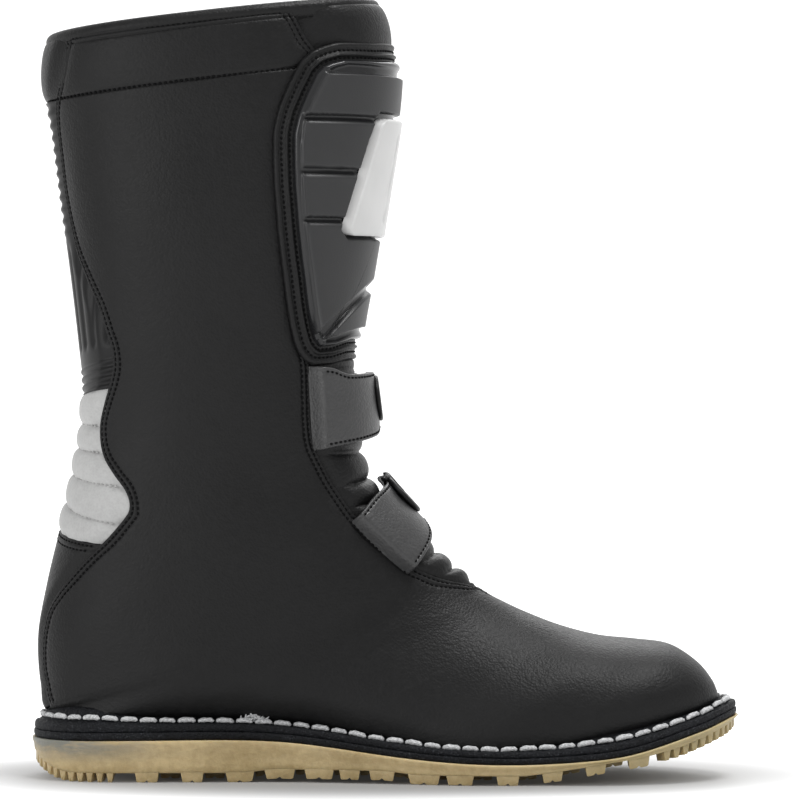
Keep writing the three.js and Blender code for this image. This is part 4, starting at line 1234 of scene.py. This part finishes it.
def strap_sheet(name):
    top = strap_border(STRAP_LINES[name]["top"], 70)
    bottom = strap_border(STRAP_LINES[name]["bottom"], 70)
    width = np.linalg.norm(skin(top[:, 0], top[:, 1]) - skin(bottom[:, 0], bottom[:, 1]), axis=1).mean()
    margin = np.array([0, 0.25, 0.6, 1.0, 1.4, 1.8, 2.3, 2.8, 3.6])
    across = np.concatenate([margin, np.linspace(4.5, width - 4.5, 24), width - margin[::-1]])
    share = (across / width)[None, :, None]
    places = top[:, None] + (bottom - top)[:, None] * share
    return places, np.broadcast_to(across, places.shape[:2]), width


def strap(name):
    closure = CLOSURES[name]
    places, across, width = strap_sheet(name)
    border = np.minimum(across, width - across)
    u = np.linspace(0, 1, places.shape[0])[:, None]
    end = (1 - u) * STRAP_LENGTH
    crown = 0.5 * np.sin(np.clip(border / width, 0, 0.5) * np.pi)
    profile = edge_roll(border, 0.9) + valley(border, 1.8, 0.35, 0.5) + valley(end, 2.0, 0.35, 0.5)
    profile = profile + edge_roll(end + 0 * border, 0.9) + crown
    dive = -7.4 * (1 - smoothstep(0.05, 0.14, u))
    sections, turns = places[..., 0], places[..., 1]
    rise = lambda turn: closure["rise"] + stand_off(closure["peak"], turn)
    points = off_skin(sections, turns, rise(turns) + profile + dive).transpose(1, 0, 2)
    piece = layered(f"{name}_strap_leather", points, PAINTED_HIGHLIGHT_STRAP_LEATHER, 2.4)
    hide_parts(f"{name}_strap")
    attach(piece, closure["body"])
    paths = []
    for column in (5, -6):
        line = places[10:-3, column]
        paths.append(np.column_stack([line, rise(line[:, 1]) - 0.12 + dive[10:-3, 0]]))
    line = places[-4, 5:-5]
    paths.append(np.column_stack([line, rise(line[:, 1]) - 0.12]))
    seam = sew(f"{name}_strap_stitches", paths, BLACK_THREAD, pitch=2.4, length=1.5, radius=0.44, lift=0.1)
    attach(seam, closure["body"])


def path_frame(closure, turn):
    """Axes on a closure's path: along the strap to the back, across it, and out of the leg."""
    on_path = lambda p: skin(closure["s"] + closure["slope"] * p, p)
    z = skin_normal(closure["s"] + closure["slope"] * turn, turn)
    along = on_path(turn + 0.02) - on_path(turn - 0.02)
    x = unit(along - z * (along @ z))
    matrix = Matrix.Identity(4)
    for column, axis in enumerate((x, np.cross(z, x), z, metres(on_path(turn)))):
        for row in range(3):
            matrix[row][column if column < 3 else 3] = float(axis[row])
    return matrix


def turned(name, profile, matrix, material, segments=48):
    """A round piece spun about its own upright axis from a profile of (radius, height)."""
    bm = bmesh.new()
    verts = [bm.verts.new((r * MM, 0, z * MM)) for r, z in profile]
    edges = [bm.edges.new(pair) for pair in zip(verts, verts[1:])]
    bmesh.ops.spin(bm, geom=verts + edges, cent=(0, 0, 0), axis=(0, 0, 1), angle=2 * math.pi,
                   steps=segments, use_merge=True, use_duplicate=False)
    bmesh.ops.remove_doubles(bm, verts=bm.verts, dist=1e-6)
    bmesh.ops.recalc_face_normals(bm, faces=bm.faces)
    bmesh.ops.transform(bm, matrix=matrix, verts=bm.verts)
    return finish_mesh(bm, name, material)


# A disc's section, as (radius, height).
DISC = [(0, 0), (9.4, 0), (10, 0.5), (10.1, 1.2), (9.7, 1.8), (8.9, 2.05), (8.2, 1.9), (7.6, 1.65),
        (4.5, 1.85), (2.0, 1.95), (0, 2)]


def strap_disc(name):
    closure = CLOSURES[name]
    low = 4.9 + closure["peak"]
    profile = [(radius, low + height) for radius, height in DISC]
    piece = turned(f"{name}_disc_cap", profile, path_frame(closure, 0.0), BLACK_PLASTIC)
    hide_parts(f"{name}_strap_disc")
    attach(piece, closure["body"])


SHARP = math.radians(38)


def softened(node_name, body, material, width):
    """A CAD piece with its sharp edges rounded off."""
    bm = bmesh.new()
    bm.from_mesh(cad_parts[node_name].data)
    bmesh.ops.remove_doubles(bm, verts=bm.verts, dist=1e-6)
    bmesh.ops.dissolve_limit(bm, angle_limit=math.radians(3), verts=bm.verts, edges=bm.edges)
    sharp = [edge for edge in bm.edges if len(edge.link_faces) == 2 and edge.calc_face_angle(0) > SHARP]
    bmesh.ops.bevel(bm, geom=sharp, offset=width * MM, segments=2, profile=0.5, affect="EDGES", material=-1,
                    clamp_overlap=True)
    bmesh.ops.triangulate(bm, faces=[face for face in bm.faces if len(face.verts) > 4])
    piece = finish_mesh(bm, f"{node_name}_finished", material)
    shade = piece.modifiers.new("even shading", "WEIGHTED_NORMAL")
    shade.keep_sharp = True
    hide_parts(node_name)
    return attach(piece, body)


LADDER_TEETH = 11


def ladder_teeth(name):
    """The toothed strap: a flat bed with a rounded rail on each edge and teeth between."""
    closure = CLOSURES[name]
    start, stop = 0.085, closure["end"] - 0.06
    turns = np.linspace(start, stop, 130)
    half = 7.5
    rail_steps = half - np.array([0, 0.2, 0.7, 1.6, 2.1])
    across = np.concatenate([-rail_steps, [-4, 0, 4], rail_steps[::-1]])
    rail = np.array([0, 0.7, 1.0, 1.0, 0.2, 0, 0, 0, 0.2, 1.0, 1.0, 0.7, 0])
    toothed = (np.abs(across) < half - 1.8).astype(float)
    rings = []
    for i, turn in enumerate(turns):
        matrix = path_frame(closure, turn)
        share = i / (len(turns) - 1)
        phase = (share * LADDER_TEETH) % 1
        tooth = 1.1 * min(phase / 0.75, (1 - phase) / 0.25) * (0.06 < share < 0.94)
        height = 4.2 + stand_off(closure["peak"], turn) + rail + toothed * tooth
        upper = [matrix @ Vector((0, y * MM, z * MM)) for y, z in zip(across, height)]
        base = 3.0 + stand_off(closure["peak"], turn)
        lower = [matrix @ Vector((0, y * MM, base * MM)) for y in across[::-1]]
        rings.append([tuple(v) for v in upper + lower + upper[:1]])
    points = np.array(rings) / MM - CENTRE
    ends = [np.broadcast_to(ring.mean(0), ring.shape) for ring in (points[0], points[-1])]
    points = np.concatenate([ends[:1], points, ends[1:]])
    bm = grid_mesh(points, wrap=True)
    bmesh.ops.recalc_face_normals(bm, faces=bm.faces)
    piece = finish_mesh(bm, f"{name}_ladder_strap", BLACK_PLASTIC)
    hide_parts(f"{name}_ladder")
    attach(piece, closure["latch"])


def closures():
    for name, closure in CLOSURES.items():
        strap(name)
        strap_disc(name)
        ladder_teeth(name)
        softened(f"{name}_buckle_frame", closure["latch"], BLACK_PLASTIC, 0.4)
        softened(f"{name}_buckle_lever", f"{name}_lever", ALUMINIUM, 0.5)
        softened(f"{name}_buckle_base", closure["body"], STEEL, 0.3)


# ------------------------------------------------------------------ sole

# Where the lugs along each side start and stop.
LUG_SPANS = [
    (-109, -98.6), (-89.2, -79.2), (-69.8, -57.3), (-53, -39.6), (-35.7, -22.8), (-20.6, -11.5),
    (-7.7, 3.5), (9, 23), (25.5, 37.5), (47, 57), (66.7, 75.7), (85.2, 94.2), (103.6, 113),
]
WELT_PITCH = 8.4    # from one stitch of the welt thread to the next
WELT_SEAM = 3.4     # how far the welt's sewn groove lies outside the feather edge
FOOTBED_INSET = 12  # how far the footbed stays inside it
TOOTH_PITCH = 4.5


def outsole_top(x):
    return hermite((SOLE_X, OUTSOLE_TOP), x)


def ply(x):
    return hermite((PLY_X, PLY), x)


def tread(x):
    return np.interp(x, TREAD_X, TREAD_Z)


def tread_base(x):
    return np.minimum(tread(x) + TREAD_DEPTH, outsole_top(x) - 1.5)


def feather_height(x):
    return hermite((SECTIONS[SOLE_SECTION:, 2], SECTIONS[SOLE_SECTION:, 3]), x)


def welt_bottom(x):
    return outsole_top(x) + ply(x) + 2 * PLY_GAP


def sole_shift(x):
    return -7.5 * smoothstep(40, 150, x)


def outline(grow, count=420):
    """The foot's outline from the heel round the inner side to the toe and back, grown outward."""
    heel, toe = FEATHER_X[0] - HEEL_RADIUS - grow, FEATHER_X[-1] + TOE_REACH + grow
    x = (heel + toe) / 2 - (toe - heel) / 2 * np.cos(np.linspace(0, np.pi, 400))
    inner = np.stack([x, sole_shift(x) - feather_half_width(x, -1, grow)], -1)
    outer = np.stack([x, sole_shift(x) + feather_half_width(x, 1, grow)], -1)
    return resample(np.vstack([inner, outer[::-1][1:-1]]), 1.0, ring=True, count=count)


def sole_ring(grow, height, share=1.0, count=420):
    plan = outline(grow, count)
    spine_x = np.clip(plan[:, 0], -105, 110)
    spine = np.stack([spine_x, sole_shift(spine_x)], -1)
    plan = spine + (plan - spine) * share
    return closed(np.column_stack([plan, height(plan[:, 0])]))


def sole_body(name, rings, material, node):
    bm = grid_mesh(np.stack(rings), wrap=True)
    bmesh.ops.recalc_face_normals(bm, faces=bm.faces)
    piece = finish_mesh(bm, name, material)
    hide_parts(node)
    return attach(piece, "foot")


def outsole():
    rings = [sole_ring(0, outsole_top, share) for share in (0.02, 0.5, 0.9)]
    rings.append(sole_ring(WELT_REACH, outsole_top))
    rings.append(sole_ring(WELT_REACH + 0.55, lambda x: outsole_top(x) - 0.05))
    rings.append(sole_ring(WELT_REACH + 0.75, lambda x: outsole_top(x) - 0.5))
    for t in np.linspace(0.1, 0.92, 7):
        height = lambda x, t=t: outsole_top(x) - 0.5 + (tread_base(x) + 0.5 - outsole_top(x)) * t
        rings.append(sole_ring(WELT_REACH + 0.75 - 1.1 * t + 0.12 * math.sin(9 * t), height))
    rings.append(sole_ring(WELT_REACH - 0.7, lambda x: tread_base(x) + 0.1))
    rings += [sole_ring(WELT_REACH - 1.2, tread_base, share) for share in (1, 0.8, 0.5, 0.25, 0.02)]
    sole_body("gum_outsole", rings, GUM, "outsole")


def lug_shape():
    """One lug in unit size: along, across and up, with a small notch under it."""
    bm = bmesh.new()
    side = [(0, 1), (0.08, 0.06), (0.13, 0), (0.40, 0.02), (0.5, 0.2), (0.59, 0.0), (0.87, 0), (0.93, 0.06),
            (1, 1)]
    face = bm.faces.new([bm.verts.new((u, 0, w)) for u, w in side])
    far = bmesh.ops.extrude_face_region(bm, geom=[face])["geom"]
    bmesh.ops.translate(bm, verts=vertices_of(far), vec=(0, 1, 0))
    bmesh.ops.recalc_face_normals(bm, faces=bm.faces)
    bmesh.ops.triangulate(bm, faces=[item for item in bm.faces if len(item.verts) > 4])
    return bm


def side_lug(shape, start, stop, side, depth):
    u, v, w = shape.T
    x = start + (stop - start) * u
    edge = feather_half_width(x, side, WELT_REACH - 0.55 - 0.5 * (1 - w))
    y = sole_shift(x) + side * (edge - v * np.minimum(depth, edge * 0.62))
    return np.stack([x, y, tread(x) + w * (tread_base(x) + 0.5 - tread(x))], -1)


def block_lug(shape, centre, along, size, taper=0.0):
    u, v, w = shape.T
    u = 0.5 + (u - 0.5) * (1 - taper * (1 - w))
    across = np.array([-along[1], along[0]])
    plan = centre + (u[:, None] - 0.5) * size[0] * along + (v[:, None] - 0.5) * size[1] * across
    x = plan[:, 0]
    return np.column_stack([plan, tread(x) + w * (tread_base(x) + 0.5 - tread(x))])


def lugs():
    template = lug_shape()
    shape = vertex_array(template)
    places = []
    for side in (-1, 1):
        for start, stop in LUG_SPANS:
            places.append(side_lug(shape, start, stop, side, 15 + 1.5 * math.sin(start)))
    for start, stop in LUG_SPANS[:-1]:
        middle = stop + 4
        for side in (-1, 1):
            reach = float(feather_half_width(np.array(middle), side)) * 0.36
            if reach > 6:
                centre = np.array([middle, float(sole_shift(middle)) + side * reach])
                places.append(block_lug(shape, centre, np.array([1.0, 0.0]), (9.5, reach * 1.15)))
    rim = outline(WELT_REACH - 0.9, 2000)
    tangent = unit(np.roll(rim, -1, 0) - np.roll(rim, 1, 0))
    step = max(int(round(TOOTH_PITCH / np.linalg.norm(rim[1] - rim[0]))), 1)
    for i in range(0, len(rim), step):
        x = rim[i, 0]
        if x < -116 or x > 118:
            inward = np.array([-tangent[i, 1], tangent[i, 0]])
            inward = inward * np.sign((np.array([-20, 0]) - rim[i]) @ inward)
            length = 9.0 + 1.5 * math.sin(i)
            width = 3.4 + rng.uniform(-0.4, 0.5)
            places.append(block_lug(shape, rim[i] + inward * length / 2, tangent[i], (width, length), 0.45))
    for x0 in (-132, -122, 122, 131):
        for y in (-12, 0, 12):
            centre = np.array([x0, float(sole_shift(x0)) + y * (0.8 if x0 > 0 else 1)])
            places.append(block_lug(shape, centre, np.array([1.0, 0.0]), (6.0, 8.5)))
    piece = repeated("gum_lugs", template, np.stack(places), GUM)
    soften = piece.modifiers.new("moulded edges", "BEVEL")
    soften.width, soften.segments, soften.limit_method = 0.3 * MM, 2, "ANGLE"
    soften.angle_limit = math.radians(25)
    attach(piece, "foot")


def midsole():
    low = lambda x: outsole_top(x) + PLY_GAP * 0.3
    top = lambda x: low(x) + ply(x) + PLY_GAP * 0.8
    rings = [sole_ring(0, low, share) for share in (0.02, 0.5, 0.9)] + [sole_ring(WELT_REACH - 0.9, low)]
    edge = ((-0.35, 0.1), (-0.05, 0.35), (0.05, 0.6), (0.0, 0.8), (-0.2, 0.93), (-0.6, 1.0))
    for grow, t in edge:
        height = lambda x, t=t: low(x) + (top(x) - low(x)) * t
        rings.append(sole_ring(WELT_REACH + grow, height))
    rings += [sole_ring(0, top, share) for share in (0.9, 0.5, 0.02)]
    sole_body("rubber_midsole", rings, RUBBER, "midsole")


def welt_top(x, grow):
    """Height of the welt's top at a distance outward from the feather edge."""
    outer = welt_bottom(x) + ply(x) - 0.2
    inner = np.maximum(feather_height(x) + 0.9 + 3.6 * smoothstep(-92, -128, x), outer + 1.4)
    t = np.clip((grow + 1.0) / (WELT_REACH - 0.8), 0, 1)
    groove = -0.5 * np.exp(-(((grow - WELT_SEAM) / 1.2) ** 2))
    buffed = 0.22 * np.sin(x * 1.9 + 2 * np.sin(x * 0.37)) * np.sin(grow * 1.7 + x * 0.23)
    return inner + (outer - inner) * t + groove + buffed * t


def welt():
    low = lambda x: welt_bottom(x) - PLY_GAP * 0.6
    rings = [sole_ring(-7, low), sole_ring(WELT_REACH - 0.9, low)]
    for grow, t in ((-0.5, 0.06), (-0.25, 0.3), (-0.3, 0.6), (-0.45, 0.85)):
        height = lambda x, t=t: low(x) + (welt_top(x, WELT_REACH) - low(x)) * t
        rings.append(sole_ring(WELT_REACH + grow, height))
    for grow in (6.8, 6.2, 5.4, 4.7, 4.1, 3.7, 3.3, 2.9, 2.5, 1.9, 1.0, 0.0, -1.0, -3.0):
        height = lambda x, grow=grow: welt_top(x, grow)
        rings.append(sole_ring(grow, height))
    rings.append(sole_ring(-7, lambda x: welt_top(x, -3) - 0.5))
    rings.append(rings[0])
    sole_body("stitched_welt", rings, RUBBER, "welt")


def welt_thread():
    """The heavy thread round the welt, with its two ends knotted off at the waist."""
    plan = outline(WELT_SEAM + 0.3, 900)
    line = np.column_stack([plan, welt_top(plan[:, 0], WELT_SEAM) + 1.15])
    spots = resample(line, WELT_PITCH, ring=True)
    along = unit(np.roll(spots, -1, 0) - np.roll(spots, 1, 0))
    up = np.broadcast_to([0.0, 0.0, 1.0], along.shape)
    template = thread_stitch(12, 15)
    shape = vertex_array(template)
    u = shape[:, 0]
    ends = np.sign(u) * np.abs(u) ** 0.62
    bow = 1 - np.abs(ends) ** 2.4
    across = unit(np.cross(up, along))
    wobble = 1 + 0.06 * np.sin(np.arange(len(spots)) * 2.7)
    along = unit(along + np.array([0, 0, 1.0]) * (0.05 * np.sin(np.arange(len(spots)) * 1.9))[:, None])
    twist = np.sin(u * 9 + 2 * np.arctan2(shape[:, 2], shape[:, 1])) * 0.1 + 1
    full = (1 - np.abs(u) ** 3.4) ** 0.5 / np.maximum(np.hypot(shape[:, 1], shape[:, 2]), 1e-3)
    full = np.where(np.abs(u) > 0.999, 1, full) * twist
    size = np.stack([3.75 * ends, 1.2 * shape[:, 1] * full, 1.1 * shape[:, 2] * full + 0.5 * bow - 0.5], -1)
    places = placed(size, along, across, spots, wobble[:, None, None])
    piece = repeated("welt_stitching", template, places, WELT_THREAD)
    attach(piece, "foot")
    x = rng.normal(-57, 3.2, 46)
    y = sole_shift(x) - feather_half_width(x, -1, WELT_SEAM) - rng.uniform(-0.5, 0.7, len(x))
    heap = 2.4 * np.exp(-(((x + 58) / 2.2) ** 2))
    high = rng.uniform(0.6, 2.4, len(x)) + heap * rng.uniform(0, 1, len(x))
    lean = rng.normal(size=(len(x), 3)) * (1.0, 0.35, 0.75) + (0.3, 0, 0.25)
    spots = np.column_stack([x, y, welt_top(x, WELT_SEAM) + high])
    facing = unit(np.cross(lean, (0.1, 1.0, 0.2)))
    tuft = stitches("welt_knot", spots, unit(lean), facing, WELT_THREAD, length=3.8, radius=0.36)
    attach(tuft, "foot")


def footbed():
    """The loose sole inside, with soft edges."""
    low = lambda x: feather_height(x) + 0.3
    rings = [sole_ring(-FOOTBED_INSET, low, share) for share in (0.02, 0.6)]
    for share, rise in ((0.97, 0), (1, 1.2), (0.995, 2.4), (0.97, 3.1), (0.9, 3.3), (0.6, 3.2), (0.02, 3.2)):
        rings.append(sole_ring(-FOOTBED_INSET, lambda x, rise=rise: low(x) + rise, share))
    sole_body("footbed_cover", rings, LINING, "footbed")


def sole():
    footbed()
    outsole()
    lugs()
    midsole()
    welt()
    welt_thread()


# ------------------------------------------------------------------ assembly

def aimed(name, data, place, target):
    """A lamp or camera that stands at a place and looks at a target."""
    item = bpy.data.objects.new(name, data)
    item.location = place
    item.rotation_euler = (Vector(target) - item.location).to_track_quat("-Z", "Y").to_euler()
    bpy.context.scene.collection.objects.link(item)
    return item


def light(name, place, target, size, power):
    data = bpy.data.lights.new(name, "AREA")
    data.shape, data.size, data.energy = "DISK", size, power
    aimed(name, data, place, target)


def studio():
    g = Graph("studio floor")
    cloud = g.noise(3.0, 2.0)
    # The floor glows white all over except in an oval under the boot, where the glow fades out and the
    # floor's darker grey colour shows: a painted shadow.
    far = (g.axis("X") * 5.6) ** 2.0 + (g.axis("Y") * 10.5) ** 2.0
    glow_with_painted_shadow = g.mix(far.step(0.3, 2.0), (0.02, 0.02, 0.02), (1.0, 1.0, 1.0))
    floor_material = g.done(Base_Color=g.mix(cloud, (0.27, 0.27, 0.27), (0.29, 0.29, 0.29)),
                            Roughness=0.6 + cloud * 0.1, Emission_Color=glow_with_painted_shadow, Emission_Strength=1.0)
    bm = bmesh.new()
    sweep = [(-12.0, 0.0), (1.6, 0.0), (2.3, 0.12), (2.75, 0.5), (2.95, 1.1), (3.0, 4.0)]
    bmesh.ops.create_grid(bm, x_segments=1, y_segments=len(sweep) - 1, size=1)
    rows = sorted({round(v.co.y, 5) for v in bm.verts})
    for v in bm.verts:
        y, z = sweep[rows.index(round(v.co.y, 5))]
        v.co = (v.co.x * 12, y, z)
    bmesh.ops.bevel(bm, geom=bm.edges[:], offset=0.1, segments=4, profile=0.5, affect="EDGES", material=-1)
    floor = finish_mesh(bm, "floor", floor_material)
    floor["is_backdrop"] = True
    world = bpy.data.worlds.new("studio")
    world.use_nodes = True
    background = world.node_tree.nodes["Background"]
    background.inputs["Color"].default_value = (1, 1, 1, 1)
    background.inputs["Strength"].default_value = 0.62
    bpy.context.scene.world = world
    light("key", (0.42, -0.3, 1.55), (0.06, 0, 0.08), 0.6, 19)
    light("left", (-1.1, -1.2, 0.5), (-0.1, 0, 0.06), 0.7, 7)
    light("back", (0.3, 1.4, 1.4), (0, 0, 0.2), 1.0, 10)
    bpy.context.scene.view_settings.view_transform = "Standard"


def camera():
    """Level with the leg's lower half, a little above the point it looks at."""
    data = bpy.data.cameras.new("camera")
    distance, view_width = 1.9, 0.352
    data.lens = 36 * distance / view_width
    data.clip_end = 20
    eye = aimed("camera", data, (0.0068, -distance - 0.0028, 0.185), (0.0068, -0.0028, 0.165))
    bpy.context.scene.camera = eye


camera()
studio()
over_ankle(leather_upper())
upper_stitches()
achilles_bellows()
calf_plate()
rear_collar_pad()
heel_counter()
rim_lining()
front_collar_pad()
tongue()
instep_bellows()
shin_flap_leather()
flap_backing()
closing_tape("loop_tape_woven", "loop_tape", 1.3, 0.9, "shaft")
closing_tape("hook_tape_woven", "hook_tape", 2.5, 0.8, "shin_flap")
foot_lining()
shin_plate()
shin_badge()
closures()
sole()

# The CAD pieces that stay: boards inside the foot, and the shank, pins and rivets, which are steel.
BOARDS = ("insole_board", "heel_stiffener", "toe_puff")
for name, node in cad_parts.items():
    node.data.materials.clear()
    node.data.materials.append(BOARD if name in BOARDS else STEEL)

low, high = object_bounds()
{"cad": [list(cad_low), list(cad_high)], "visual": [list(low), list(high)]}
